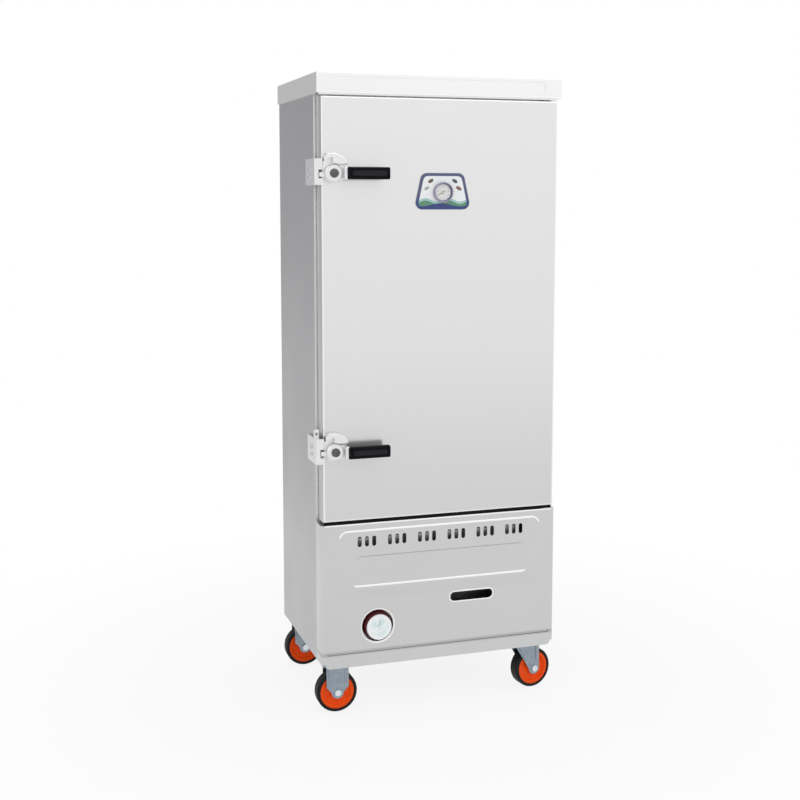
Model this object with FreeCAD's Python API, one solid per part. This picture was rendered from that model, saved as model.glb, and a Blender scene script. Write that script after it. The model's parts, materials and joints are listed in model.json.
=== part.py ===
import FreeCAD, Part
import math
import os

# Gas rice steamer: an insulated single door cabinet over a gas fired water tank, on four casters.
# Millimetres. X runs along the front, the door faces -Y, Z is up and the floor is Z = 0.
# The pieces are drawn with Y = 0 at the door's face, then moved so that Y = 0 is the middle
# of the overall depth.

V = FreeCAD.Vector

# Overall size
WIDTH = 600.0
DEPTH = 405.0
HEIGHT = 1520.0
SHEET = 1.2
FIT = 0.3

# Levels of the cabinet
CARCASS_BOTTOM = 128.0
APRON_DROP = 11.0
SHELF_TOP = 467.0
CAP_HEIGHT = 47.0
CAP_OVERHANG = 4.0
CAP_BACK_OVERHANG = 2.0
CAP_ROUND = 2.0
BAND_BELOW = 17.0
BAND_ABOVE = 10.0

# Door and the frame that it closes on
DOOR_THICKNESS = 42.0
DOOR_INSET = 6.0
DOOR_GAP_BELOW = 8.0
DOOR_GAP_ABOVE = 7.0
DOOR_EDGE_RADIUS = 3.0
GASKET_THICKNESS = 4.7
GASKET_WIDTH = 9.0
GASKET_MARGIN = 2.0
FOAM = 26.0
FRAME_LIP = 3.6
MOUTH_RISE = 10.0
CEILING_DROP = 33.0

# Pivot hinges at the right
HINGE_EDGE = 13.0
HINGE_DEPTH = 21.0
PIN_RADIUS = 6.0
PIN_LENGTH = 18.0
BUSH_RADIUS = 9.0
BUSH_LENGTH = 22.0
BUSH_LIP = 1.0
RUNNING = 0.05
BRACKET_WIDTH = 30.0
BRACKET_THICKNESS = 3.0
BRACKET_SETBACK = 3.6

# Trays and their racks
TRAY_SIDE_GAP = 6.6
TRAY_END_GAP = 1.7
TRAY_HEIGHT = 45.0
TRAY_RIM = 12.0
TRAY_SHEET = 1.0
TRAY_CORNER = 20.0
TRAY_PITCH = 76.0
TRAY_HEADROOM = 40.0
LOWEST_TRAY_RISE = 70.0
POST_THICKNESS = 2.0
POST_WIDTH = 25.0
RUNNER_LEG = 14.0
RUNNER_SHELF = 13.0

# Water tank and fire tubes
TANK_SHEET = 1.5
TANK_RISE = 23.0
TANK_HEIGHT = 145.0
TANK_INSET = 3.6
TUBE_COUNT = 5
TUBE_MARGIN = 30.0
TUBE_RADIUS = 22.0
TUBE_WALL = 1.5
TUBE_RISE = 45.0
GRID_THICKNESS = 3.0
GRID_BAR = 12.0
GRID_SLOTS = 9

# Burner
BURNER_BOX_SIDE = 80.0
BURNER_BOX_INSET = 20.6
DUCT_FRONT = 25.0
DUCT_DROP = 48.0
BURNER_RADIUS = 17.0
BURNER_WALL = 1.5
BURNER_DROP = 71.0
BURNER_MOUTH = 4.0
BURNER_END = 3.0
BURNER_SLIT = 4.0
BURNER_SLIT_MARGIN = 30.0
MANIFOLD_RADIUS = 10.5
MANIFOLD_SETBACK = 26.0
NOZZLE_RADIUS = 5.0
NOZZLE_ENTRY = 2.0
STRAP_WIDTH = 12.0
STRAP_THICKNESS = 4.0
GAS_PIPE_RADIUS = 8.0
GAS_PIPE_SIDE = 48.0
GAS_PIPE_BEND = 22.0
INLET_RADIUS = 10.5
INLET_LENGTH = 22.0
VALVE_WIDTH = 50.0
VALVE_HEIGHT = 50.0
VALVE_DEPTH = 34.0
VALVE_FLANGE = 3.0
VALVE_FLANGE_MARGIN = 8.0
VALVE_END = 6.0

# Back of the cabinet
BACK_REACH = 43.0
BACK_FLANGE = 6.0
BACK_FLANGE_THICKNESS = 2.0
FLUE_RADIUS = 45.0
FLUE_REACH = 36.0
FLUE_BOX_EXTRA = 15.0
FLUE_BOX_HEIGHT = 70.0
VENT_PIPE_RADIUS = 12.5
VENT_PIPE_SIDE = 150.0
VENT_PIPE_DROP = 40.0
PIPE_WALL = 1.5
WATER_RADIUS = 10.0
WATER_SIDE = 100.0
WATER_DROP = 32.0
DRAIN_RADIUS = 10.5
DRAIN_SIDE = 54.0
DRAIN_SETBACK = 26.0
DRAIN_DROP = 40.0
DRAIN_BODY = 16.0
DRAIN_NIPPLE = 18.0
DRAIN_NECK = 6.0
HANDLE_LENGTH = 62.0
HANDLE_WIDTH = 14.0
HANDLE_THICKNESS = 3.0
HANDLE_POST = 2.0

# Float that keeps the water level
FLOAT_BALL = 20.0
FLOAT_ARM = 120.0
FLOAT_ROD = 3.0
FLOAT_PIVOT = 3.0
FLOAT_SETBACK = 12.0

# Lower front panel
CORNER_RADIUS = 9.0
PLATEAU_SIDE = 42.0
PLATEAU_DROP = 14.0
PLATEAU_HEIGHT = 147.0
PLATEAU_FADE = 24.0
PLATEAU_RISE = 3.5
PLATEAU_RADIUS = 22.0
FLANK = 3.0
END_FLANK = 16.0
RECESS_SIDE = 36.0
RECESS_DROP = 79.0
RECESS_HEIGHT = 76.0
RECESS_RADIUS = 12.0
GROOVE_RISE = 24.5
GROOVE_WIDTH = 5.0
GROOVE_DEPTH = 2.5
GROOVE_SIDE = 13.0
VENT_GROUPS = 6
VENT_SIDE = 69.25
VENT_DROP = 43.5
VENT_SLOT = 10.0
VENT_SLOT_HEIGHT = 25.0
VENT_SLOT_PITCH = 18.0
VENTS_PER_GROUP = 3
SLOT_SIDE = 221.0
SLOT_RISE = 138.0
SLOT_LENGTH = 110.0
SLOT_WIDTH = 22.0
KNOB_SIDE = 139.0
KNOB_RISE = 85.0
DISH_RADIUS = 44.0
DISH_FLOOR_RADIUS = 39.0
DISH_DEPTH = 10.0

# Gas knob
KNOB_BASE_RADIUS = 36.0
KNOB_FACE_RADIUS = 30.0
KNOB_BACK = 5.0
KNOB_LENGTH = 18.0
KNOB_CAP_RADIUS = 28.5
KNOB_CAP_THICKNESS = 3.0
KNOB_RIDGE = 2.5
RIDGE_WIDTH = 6.0
RIDGE_MARGIN = 5.5
STEM_RADIUS = 4.0
STEM_HOLE = 9.0
STEM_ROOM = 5.0

# Thermometer on the door
GAUGE_DROP = 218.0
GAUGE_BOTTOM = 40.0
GAUGE_TOP = 45.0
GAUGE_BOTTOM_WIDTH = 141.0
GAUGE_TOP_WIDTH = 104.0
GAUGE_PLATE = 2.5
GAUGE_CORNER = 16.0
DIAL_RADIUS = 24.0
BEZEL_WIDTH = 2.5
BEZEL_DEPTH = 7.0
LENS_THICKNESS = 1.2
DIAL_THICKNESS = 1.5
POST_RADIUS = 1.2
NEEDLE_LENGTH = 17.0
NEEDLE_TAIL = 6.0
NEEDLE_WIDTH = 2.0
NEEDLE_TIP = 0.6
NEEDLE_THICKNESS = 0.6
NEEDLE_HUB = 3.0
NEEDLE_STANDOFF = 3.0
NEEDLE_ANGLE = 120.0
PROBE_RADIUS = 4.0

# Latches at the left
LATCH_INSET = 32.0
LATCH_DROP = 175.0
LATCH_RISE = 170.0
HOUSING_THICKNESS = 5.0
HOUSING_RADIUS = 24.0
HOOD_WIDTH = 31.0
HOOD_HEIGHT = 46.0
HOOD_START = 20.0
HOOD_ROUND = 2.5
HOOD_CORNER = 8.0
HOOD_STEP = 4.0
LEVER_THICKNESS = 14.0
LEVER_RADIUS = 21.0
LEVER_CLEARANCE = 1.5
LEVER_NOSE = 33.0
NOSE_TOP = 2.0
NOSE_BOTTOM = 8.0
NOSE_THICKNESS = 4.0
NECK_START = 20.0
NECK_END = 28.5
NECK_HALF = 14.5
GRIP_LENGTH = 98.0
GRIP_HEIGHT = 28.0
GRIP_DEPTH = 20.0
GRIP_STANDOFF = 23.0
GRIP_ROUND = 6.0
TANG_HALF = 7.0
TANG_THICKNESS = 6.0
TANG_LENGTH = 84.0
NECK_PROUD = 1.0
BOLT_RADIUS = 5.0
BOLT_HEAD = 10.5
BOLT_HEAD_HEIGHT = 4.0
BOLT_FACE = 8.0
BOLT_COVER = 2.0
STRIKE_THICKNESS = 10.0
STRIKE_PAD = 4.0
STRIKE_TOP = 33.0
STRIKE_BOTTOM = 27.0
STRIKE_BACK = 20.0
STRIKE_ROUND = 4.0
LIP_THICKNESS = 4.0
LIP_CLEARANCE = 1.2
LIP_EDGE = 5.0
NOTCH_TOP = 8.0
NOTCH_BOTTOM = 12.0
EAR_HEIGHT = 22.0
EAR_HOLE = 4.0
SCREW_RADIUS = 5.0
SCREW_HEAD = 2.5
SCREW_SPACING = 8.5
SCREW_SETBACK = 28.0

# Casters
WHEEL_RADIUS = 50.0
TYRE_WIDTH = 30.0
TYRE_SHOULDER = 4.0
CORE_RADIUS = 42.0
CORE_WIDTH = 27.0
CORE_WEB_RADIUS = 32.0
CORE_WEB_WIDTH = 20.0
CORE_RIM_SLOPE = 2.0
HUB_RADIUS = 13.0
AXLE_RADIUS = 5.0
NUT_RADIUS = 8.5
NUT_HEIGHT = 5.0
CASTER_SIDE = 44.0
CASTER_FRONT = 40.0
CASTER_BACK = 36.0
CASTER_PLATE_LENGTH = 84.0
CASTER_PLATE_WIDTH = 74.0
CASTER_PLATE = 3.0
LEG_THICKNESS = 2.5
LEG_GAP = 2.0
LEG_HALF = 27.5
LEG_END = 15.0
LEG_KNEE = 14.0
FORK_BACK = 38.0
FORK_FRONT = 29.0
RIB_WIDTH = 6.0
RIB_HEIGHT = 1.2
RIB_INSET = 4.0
RIB_START = 24.0
RACE_RADIUS = 24.0
RACE_HEIGHT = 8.5
CROWN_THICKNESS = 5.0
KINGPIN_RADIUS = 6.0
KINGPIN_HEAD = 10.0
KINGPIN_HEAD_HEIGHT = 3.5
TRAIL = 14.0
SWIVEL_TURN = 10.0

# Base frame
BASE_SHEET = 2.5
BASE_WIDTH = 88.0
BASE_UPSTAND = 22.0

# Places that follow from the sizes above
HALF = WIDTH / 2
FRAME_Y = DOOR_THICKNESS + GASKET_THICKNESS + FIT
CAP_BOTTOM = HEIGHT - CAP_HEIGHT
DOOR_BOTTOM = SHELF_TOP + DOOR_GAP_BELOW
DOOR_TOP = CAP_BOTTOM - DOOR_GAP_ABOVE
DOOR_HALF = HALF - DOOR_INSET
APRON_BOTTOM = CARCASS_BOTTOM - APRON_DROP
INSIDE = HALF - SHEET
BACK_INSIDE = DEPTH - SHEET
FRAME_BACK = FRAME_Y + SHEET
LINER_HALF = INSIDE - FOAM - SHEET
LINER_BACK = BACK_INSIDE - FOAM - SHEET
CEILING = CAP_BOTTOM - CEILING_DROP
TANK_TOP = SHELF_TOP + TANK_RISE
TANK_BOTTOM = TANK_TOP - TANK_HEIGHT
OPENING_HALF = LINER_HALF - FRAME_LIP
OPENING_BOTTOM = TANK_TOP + MOUTH_RISE
TRAY_WIDTH = 2 * (LINER_HALF - TRAY_SIDE_GAP)
TRAY_DEPTH = LINER_BACK - FRAME_BACK - 2 * TRAY_END_GAP
LOWEST_TRAY = TANK_TOP + LOWEST_TRAY_RISE
TRAY_COUNT = int((CEILING - TRAY_HEADROOM - LOWEST_TRAY) / TRAY_PITCH) + 1
TANK_HALF = LINER_HALF - TANK_INSET
TANK_FRONT = FRAME_BACK + TANK_INSET
TANK_BACK = LINER_BACK - TANK_INSET
TUBE_Z = TANK_BOTTOM + TUBE_RISE
HINGE_X = DOOR_HALF - HINGE_EDGE
LATCH_X = -HALF + LATCH_INSET
LATCH_LEVELS = (DOOR_TOP - LATCH_DROP, DOOR_BOTTOM + LATCH_RISE)
GRIP_FRONT = GRIP_STANDOFF + GRIP_DEPTH
GAUGE_Z = DOOR_TOP - GAUGE_DROP
BURNER_HALF = HALF - BURNER_BOX_SIDE
BURNER_FRONT = TANK_FRONT + BURNER_BOX_INSET
BURNER_BACK = TANK_BACK - BURNER_BOX_INSET
BURNER_HEIGHT = TANK_BOTTOM - BURNER_DROP
TUBE_PITCH = 2 * (BURNER_HALF - TUBE_MARGIN) / (TUBE_COUNT - 1)
FLUE_HALF = BURNER_HALF + FLUE_BOX_EXTRA
DUCT_BOTTOM = TANK_BOTTOM - DUCT_DROP
MANIFOLD_Y = BURNER_FRONT - MANIFOLD_SETBACK
GAS_PIPE_X = -HALF + GAS_PIPE_SIDE
VENT_PIPE_X = HALF - VENT_PIPE_SIDE
VENT_PIPE_Z = CEILING - VENT_PIPE_DROP
WATER_X = HALF - WATER_SIDE
WATER_Z = TANK_TOP - WATER_DROP
FLOAT_Y = TANK_BACK - TANK_SHEET - FLOAT_SETBACK - 2 * FLOAT_PIVOT
PLATEAU_HALF = HALF - PLATEAU_SIDE
PLATEAU_TOP = SHELF_TOP - PLATEAU_DROP
PLATEAU_BOTTOM = PLATEAU_TOP - PLATEAU_HEIGHT
RECESS_HALF = PLATEAU_HALF - RECESS_SIDE
RECESS_TOP = SHELF_TOP - RECESS_DROP
RECESS_BOTTOM = RECESS_TOP - RECESS_HEIGHT
GROOVE_HALF = HALF - GROOVE_SIDE
GROOVE_LEVEL = CARCASS_BOTTOM + GROOVE_RISE
VENT_PITCH = 2 * (PLATEAU_HALF - VENT_SIDE) / (VENT_GROUPS - 1)
VENT_LEVEL = SHELF_TOP - VENT_DROP
SLOT_X = HALF - SLOT_SIDE
SLOT_Z = CARCASS_BOTTOM + SLOT_RISE
KNOB_X = -HALF + KNOB_SIDE
KNOB_Z = CARCASS_BOTTOM + KNOB_RISE
DISH_BACK = DISH_DEPTH + SHEET
VALVE_FRONT = DISH_BACK + VALVE_FLANGE
DRAIN_X = HALF - DRAIN_SIDE
DRAIN_Y = TANK_BACK - DRAIN_SETBACK
DRAIN_Z = TANK_BOTTOM - DRAIN_DROP
LEVER_BACK = HOUSING_THICKNESS + FIT
LEVER_FRONT = LEVER_BACK + LEVER_THICKNESS
TONGUE_FRONT = LEVER_BACK + NOSE_THICKNESS
CASTER_X = HALF - CASTER_SIDE
CASTER_YS = {"front": CASTER_FRONT, "rear": DEPTH - CASTER_BACK}
Y_MIDDLE = (DEPTH + BACK_REACH - GRIP_FRONT) / 2


def box(x0, x1, y0, y1, z0, z1):
    """A box between two corners."""
    return Part.makeBox(x1 - x0, y1 - y0, z1 - z0, V(x0, y0, z0))


def rod(radius, start, end):
    """A round bar from one point to another."""
    run = V(*end) - V(*start)
    return Part.makeCylinder(radius, run.Length, V(*start), run)


def pipe(radius, wall, start, end):
    """A round tube from one point to another."""
    return rod(radius, start, end).cut(rod(radius - wall, start, end))


def taper(radius0, radius1, start, end):
    """A cone frustum from one point to another."""
    run = V(*end) - V(*start)
    return Part.makeCone(radius0, radius1, run.Length, V(*start), run)


def lifted(u, v, w, plane):
    """A point of a flat outline, placed in its plane: xz stands at Y = w, xy lies at Z = w."""
    return V(u, w, v) if plane == "xz" else V(u, v, w)


def rounded_outline(u0, u1, v0, v1, radius, w, plane="xz"):
    """A rectangle with four round corners."""
    k = radius * (1 - math.sqrt(0.5))
    corners = [
        ((u1, v0 + radius), (u1 - k, v0 + k), (u1 - radius, v0)),
        ((u0 + radius, v0), (u0 + k, v0 + k), (u0, v0 + radius)),
        ((u0, v1 - radius), (u0 + k, v1 - k), (u0 + radius, v1)),
        ((u1 - radius, v1), (u1 - k, v1 - k), (u1, v1 - radius)),
    ]
    edges = []
    for i, corner in enumerate(corners):
        a, b, c = [lifted(p[0], p[1], w, plane) for p in corner]
        following = corners[(i + 1) % 4][0]
        edges.append(Part.Arc(a, b, c).toShape())
        edges.append(Part.makeLine(c, lifted(following[0], following[1], w, plane)))
    return Part.Wire(Part.__sortEdges__(edges))


def rounded_plate(u0, u1, v0, v1, radius, w0, w1, plane="xz"):
    """A flat plate with round corners."""
    face = Part.Face(rounded_outline(u0, u1, v0, v1, radius, w0, plane))
    return face.extrude(lifted(0, 0, w1 - w0, plane))


def stadium(x, z, length, width, y0, y1, upright=False):
    """A slot shape with two round ends, through Y."""
    half = (length - width) / 2
    dx, dz = (0, half) if upright else (half, 0)
    wide, tall = (width / 2, half) if upright else (half, width / 2)
    body = box(x - wide, x + wide, y0, y1, z - tall, z + tall)
    for side in (-1, 1):
        end = (x + side * dx, y0, z + side * dz)
        body = body.fuse(rod(width / 2, end, (end[0], y1, end[2])))
    return body.removeSplitter()


def outline_plate(points, y0, y1):
    """A flat plate in the XZ plane from corner points."""
    ring = [V(x, y0, z) for x, z in points]
    return Part.Face(Part.makePolygon(ring + ring[:1])).extrude(V(0, y1 - y0, 0))


def side_profile(points, x0, x1):
    """A prism along X from corner points in the YZ plane."""
    ring = [V(x0, y, z) for y, z in points]
    return Part.Face(Part.makePolygon(ring + ring[:1])).extrude(V(x1 - x0, 0, 0))


def fused(shapes):
    """One solid from pieces that touch or overlap."""
    whole = shapes[0]
    for shape in shapes[1:]:
        whole = whole.fuse(shape)
    return whole.removeSplitter()


def save(name, shape):
    """Write one node, moved into the part's own frame."""
    placed = shape.copy()
    placed.translate(V(0, -Y_MIDDLE, 0))
    placed.exportStep("parts/" + name + ".step")


# Outer casing

def back_holes(clearance):
    """What passes through the back of the cabinet, with clearance."""
    y0, y1 = LINER_BACK - 1, DEPTH + 1
    return fused([
        rod(FLUE_RADIUS + clearance, (0, y0, TUBE_Z), (0, y1, TUBE_Z)),
        rod(VENT_PIPE_RADIUS + clearance, (VENT_PIPE_X, y0, VENT_PIPE_Z), (VENT_PIPE_X, y1, VENT_PIPE_Z)),
        rod(WATER_RADIUS + clearance, (WATER_X, y0, WATER_Z), (WATER_X, y1, WATER_Z)),
        rod(DRAIN_RADIUS + clearance, (DRAIN_X, y0, DRAIN_Z), (DRAIN_X, y1, DRAIN_Z)),
        rod(GAS_PIPE_RADIUS + clearance, (GAS_PIPE_X, y0, KNOB_Z), (GAS_PIPE_X, y1, KNOB_Z)),
    ])


def back_flange(x, z, radius):
    """The round flange of a pipe against the outside of the back panel."""
    return rod(radius + BACK_FLANGE, (x, DEPTH, z), (x, DEPTH + BACK_FLANGE_THICKNESS, z))


def side_panels():
    """The two outer side sheets, from the front frame to the back panel."""
    left = box(-HALF, -INSIDE, FRAME_BACK, BACK_INSIDE, CARCASS_BOTTOM, CAP_BOTTOM)
    right = box(INSIDE, HALF, FRAME_BACK, BACK_INSIDE, CARCASS_BOTTOM, CAP_BOTTOM)
    return Part.makeCompound([left, right])


def back_panel():
    """The outer back sheet with its pipe holes."""
    sheet = box(-HALF, HALF, BACK_INSIDE, DEPTH, CARCASS_BOTTOM, CAP_BOTTOM)
    return sheet.cut(back_holes(FIT))


def top_cap():
    """The folded top cover, with a shallow pressed band along its front."""
    half = HALF + CAP_OVERHANG
    back = DEPTH + CAP_BACK_OVERHANG
    shell = box(-half, half, 0, back, CAP_BOTTOM, HEIGHT)
    rims = [e for e in shell.Edges if any(abs(v.Z - HEIGHT) < FIT for v in e.Vertexes)]
    shell = shell.makeFillet(CAP_ROUND, rims)
    shell = shell.cut(box(-half + SHEET, half - SHEET, SHEET, back - SHEET,
                          CAP_BOTTOM + SHEET, HEIGHT - SHEET))
    lip = FRAME_BACK + CAP_OVERHANG
    shell = shell.cut(box(-INSIDE, INSIDE, lip, BACK_INSIDE, CAP_BOTTOM - 1, CAP_BOTTOM + 2 * SHEET))
    band = WIDTH - 2 * CAP_HEIGHT + 2 * CORNER_RADIUS
    low, high = CAP_BOTTOM + BAND_BELOW, HEIGHT - BAND_ABOVE
    shell = shell.fuse(box(-band / 2 - SHEET, band / 2 + SHEET, SHEET / 2, 2 * SHEET,
                           low - SHEET, high + SHEET))
    return shell.cut(box(-band / 2, band / 2, -1, SHEET, low, high)).removeSplitter()


def front_frame():
    """The flat frame round the chamber's mouth, which the gasket closes on."""
    frame = box(-HALF, HALF, FRAME_Y, FRAME_BACK, SHELF_TOP, CAP_BOTTOM)
    return frame.cut(box(-OPENING_HALF, OPENING_HALF, FRAME_Y - 1, FRAME_BACK + 1, OPENING_BOTTOM,
                         CEILING - SHEET))


def base_frame():
    """A ring of channel that carries the casing, open upwards."""
    y0, y1 = CORNER_RADIUS + SHEET, BACK_INSIDE
    z0, z1 = CARCASS_BOTTOM, CARCASS_BOTTOM + BASE_UPSTAND
    ring = box(-INSIDE, INSIDE, y0, y1, z0, z1)
    inner = BASE_WIDTH - BASE_SHEET
    ring = ring.cut(box(-INSIDE + BASE_SHEET, INSIDE - BASE_SHEET, y0 + BASE_SHEET, y1 - BASE_SHEET,
                        z0 + BASE_SHEET, z1 + 1))
    wall = box(-INSIDE + inner, INSIDE - inner, y0 + inner, y1 - inner, z0, z1)
    ring = ring.fuse(wall)
    return ring.cut(box(-INSIDE + BASE_WIDTH, INSIDE - BASE_WIDTH, y0 + BASE_WIDTH, y1 - BASE_WIDTH,
                        z0 - 1, z1 + 1)).removeSplitter()


# Steam chamber

def chamber_liner():
    """The inner walls and ceiling of the steam chamber."""
    outer, back = LINER_HALF + SHEET, LINER_BACK + SHEET
    liner = box(-outer, outer, FRAME_BACK, back, TANK_TOP, CEILING + SHEET)
    liner = liner.cut(box(-LINER_HALF, LINER_HALF, FRAME_BACK - 1, LINER_BACK, TANK_TOP - 1, CEILING))
    return liner.cut(back_holes(FIT))


def insulation():
    """Four foam slabs between the casing and the liner."""
    outer, back = LINER_HALF + SHEET, LINER_BACK + SHEET
    left = box(-INSIDE, -outer, FRAME_BACK, BACK_INSIDE, TANK_BOTTOM, CAP_BOTTOM)
    right = box(outer, INSIDE, FRAME_BACK, BACK_INSIDE, TANK_BOTTOM, CAP_BOTTOM)
    rear = box(-outer, outer, back, BACK_INSIDE, TANK_TOP, CAP_BOTTOM).cut(back_holes(FIT))
    top = box(-outer, outer, FRAME_BACK, back, CEILING + SHEET, CAP_BOTTOM)
    return Part.makeCompound([left, right, rear, top])


def runner_top(index):
    """The height of a runner's upper face, where a tray's rim rests."""
    return LOWEST_TRAY + index * TRAY_PITCH


def racks():
    """Two posts against each side of the liner, with an angle runner for each tray."""
    wall = LINER_HALF
    base = TANK_TOP + GRID_THICKNESS
    front, back = FRAME_BACK + TRAY_RIM / 2, LINER_BACK - TRAY_RIM / 2
    pieces = []
    for y in (front + POST_WIDTH, back - 2 * POST_WIDTH):
        pieces.append(box(wall - POST_THICKNESS, wall, y, y + POST_WIDTH, base, CEILING))
    leg = wall - POST_THICKNESS
    for i in range(TRAY_COUNT):
        top = runner_top(i)
        pieces.append(box(leg - SHEET, leg, front, back, top - SHEET, top - SHEET + RUNNER_LEG))
        pieces.append(box(leg - SHEET - RUNNER_SHELF, leg, front, back, top - SHEET, top))
    right = fused(pieces)
    return Part.makeCompound([right, right.mirror(V(0, 0, 0), V(1, 0, 0))])


def trays():
    """The steaming trays, each hung by its rim on a pair of runners."""
    half, front = TRAY_WIDTH / 2, (FRAME_BACK + LINER_BACK - TRAY_DEPTH) / 2
    back = front + TRAY_DEPTH
    made = []
    for i in range(TRAY_COUNT):
        top = runner_top(i)
        rim = rounded_plate(-half, half, front, back, TRAY_CORNER, top, top + TRAY_SHEET, "xy")
        inset = TRAY_RIM
        body = rounded_plate(-half + inset, half - inset, front + inset, back - inset, TRAY_CORNER,
                             top - TRAY_HEIGHT + TRAY_SHEET, top + TRAY_SHEET, "xy")
        inset += TRAY_SHEET
        inside = rounded_plate(-half + inset, half - inset, front + inset, back - inset,
                               TRAY_CORNER - TRAY_SHEET, top - TRAY_HEIGHT + 2 * TRAY_SHEET,
                               top + 2 * TRAY_SHEET, "xy")
        made.append(rim.fuse(body).cut(inside).removeSplitter())
    return Part.makeCompound(made)


# Boiler

def tube_places():
    """The X of each fire tube."""
    return [(i - (TUBE_COUNT - 1) / 2) * TUBE_PITCH for i in range(TUBE_COUNT)]


def water_tank():
    """The open tank under the chamber, whose rim carries the liner."""
    t = TANK_SHEET
    tank = box(-TANK_HALF, TANK_HALF, TANK_FRONT, TANK_BACK, TANK_BOTTOM, TANK_TOP)
    rim = box(-LINER_HALF - SHEET, LINER_HALF + SHEET, FRAME_BACK, LINER_BACK + SHEET, TANK_TOP - t, TANK_TOP)
    inside = box(-TANK_HALF + t, TANK_HALF - t, TANK_FRONT + t, TANK_BACK - t, TANK_BOTTOM + t, TANK_TOP + 1)
    tank = tank.fuse(rim).cut(inside)
    for x in tube_places():
        tank = tank.cut(rod(TUBE_RADIUS, (x, TANK_FRONT - 1, TUBE_Z), (x, TANK_BACK + 1, TUBE_Z)))
    tank = tank.cut(rod(WATER_RADIUS, (WATER_X, TANK_BACK - 5, WATER_Z), (WATER_X, TANK_BACK + 5, WATER_Z)))
    outlet = rod(DRAIN_RADIUS - PIPE_WALL, (DRAIN_X, DRAIN_Y, TANK_BOTTOM - 1), (DRAIN_X, DRAIN_Y, TANK_BOTTOM + 5))
    return tank.cut(outlet).removeSplitter()


def fire_tubes():
    """The tubes that carry hot gas through the water."""
    made = [pipe(TUBE_RADIUS, TUBE_WALL, (x, TANK_FRONT, TUBE_Z), (x, TANK_BACK, TUBE_Z)) for x in tube_places()]
    return Part.makeCompound(made)


def steam_grid():
    """The grid of flat bars over the water, which lies on the tank's rim."""
    margin = 2 * FIT
    x1, y0, y1 = LINER_HALF - margin, FRAME_BACK + margin, LINER_BACK - margin
    plate = box(-x1, x1, y0, y1, TANK_TOP, TANK_TOP + GRID_THICKNESS)
    pitch = (2 * x1 - GRID_BAR) / GRID_SLOTS
    for i in range(GRID_SLOTS):
        x = -x1 + GRID_BAR + i * pitch
        plate = plate.cut(box(x, x + pitch - GRID_BAR, y0 + GRID_BAR, y1 - GRID_BAR, TANK_TOP - 1,
                              TANK_TOP + GRID_THICKNESS + 1))
    return plate


def flue():
    """The gas collector behind the tank, and the round collar that leads out through the back."""
    half, t = FLUE_HALF, SHEET
    z0, z1 = TUBE_Z - FLUE_BOX_HEIGHT / 2, TUBE_Z + FLUE_BOX_HEIGHT / 2
    low = min(z0, TUBE_Z - FLUE_RADIUS - t)
    high = max(z1, TUBE_Z + FLUE_RADIUS + t)
    collector = box(-half, half, TANK_BACK, BACK_INSIDE, low, high)
    collector = collector.cut(box(-half + t, half - t, TANK_BACK - 1, BACK_INSIDE - t, low + t, high - t))
    end = DEPTH + FLUE_REACH
    bore = rod(FLUE_RADIUS - PIPE_WALL, (0, BACK_INSIDE - 2 * t, TUBE_Z), (0, end + 1, TUBE_Z))
    collar = rod(FLUE_RADIUS, (0, BACK_INSIDE, TUBE_Z), (0, end, TUBE_Z)).fuse(back_flange(0, TUBE_Z, FLUE_RADIUS))
    return Part.makeCompound([collector.cut(bore), collar.cut(bore).removeSplitter()])


def steam_vent():
    """The pipe that lets spent steam out at the back."""
    start, end = (VENT_PIPE_X, LINER_BACK, VENT_PIPE_Z), (VENT_PIPE_X, DEPTH + FLUE_REACH, VENT_PIPE_Z)
    body = rod(VENT_PIPE_RADIUS, start, end).fuse(back_flange(VENT_PIPE_X, VENT_PIPE_Z, VENT_PIPE_RADIUS))
    return body.cut(rod(VENT_PIPE_RADIUS - PIPE_WALL, start, end)).removeSplitter()


# Water side

def water_inlet():
    """The filling pipe, with the lug that the float's arm turns on."""
    nose = FLOAT_Y + 2 * FLOAT_PIVOT
    start, end = (WATER_X, nose, WATER_Z), (WATER_X, DEPTH + FLUE_REACH, WATER_Z)
    body = rod(WATER_RADIUS, start, end).fuse(back_flange(WATER_X, WATER_Z, WATER_RADIUS))
    body = body.cut(rod(WATER_RADIUS - 3 * PIPE_WALL, start, end))
    lug = box(WATER_X - FLOAT_ROD, WATER_X + FLOAT_ROD, nose - 4 * FLOAT_PIVOT, nose + PIPE_WALL,
              WATER_Z - 2 * FLOAT_PIVOT, WATER_Z + 2 * FLOAT_PIVOT)
    bore = rod(FLOAT_PIVOT + RUNNING, (WATER_X - 2 * FLOAT_ROD, FLOAT_Y, WATER_Z),
               (WATER_X + 2 * FLOAT_ROD, FLOAT_Y, WATER_Z))
    return body.fuse(lug).cut(bore).removeSplitter()


def float_arm():
    """The float ball on its forked arm, with the pivot pin."""
    y, z = FLOAT_Y, WATER_Z
    pin = rod(FLOAT_PIVOT, (WATER_X - 3 * FLOAT_ROD, y, z), (WATER_X + 3 * FLOAT_ROD, y, z))
    pieces = [pin]
    cheek = FLOAT_ROD + FIT
    for side in (-1, 1):
        x0, x1 = sorted((WATER_X + side * cheek, WATER_X + side * (cheek + FLOAT_ROD)))
        pieces.append(box(x0, x1, y - 5 * FLOAT_PIVOT, y + FLOAT_PIVOT, z - FLOAT_PIVOT, z + FLOAT_PIVOT))
    bridge = y - 5 * FLOAT_PIVOT
    reach = cheek + FLOAT_ROD
    pieces.append(box(WATER_X - reach, WATER_X + reach, bridge - FLOAT_ROD, bridge, z - FLOAT_PIVOT, z + FLOAT_PIVOT))
    pieces.append(rod(FLOAT_ROD, (WATER_X, bridge, z), (WATER_X, y - FLOAT_ARM, z)))
    pieces.append(Part.makeSphere(FLOAT_BALL, V(WATER_X, y - FLOAT_ARM, z)))
    return fused(pieces)


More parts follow.
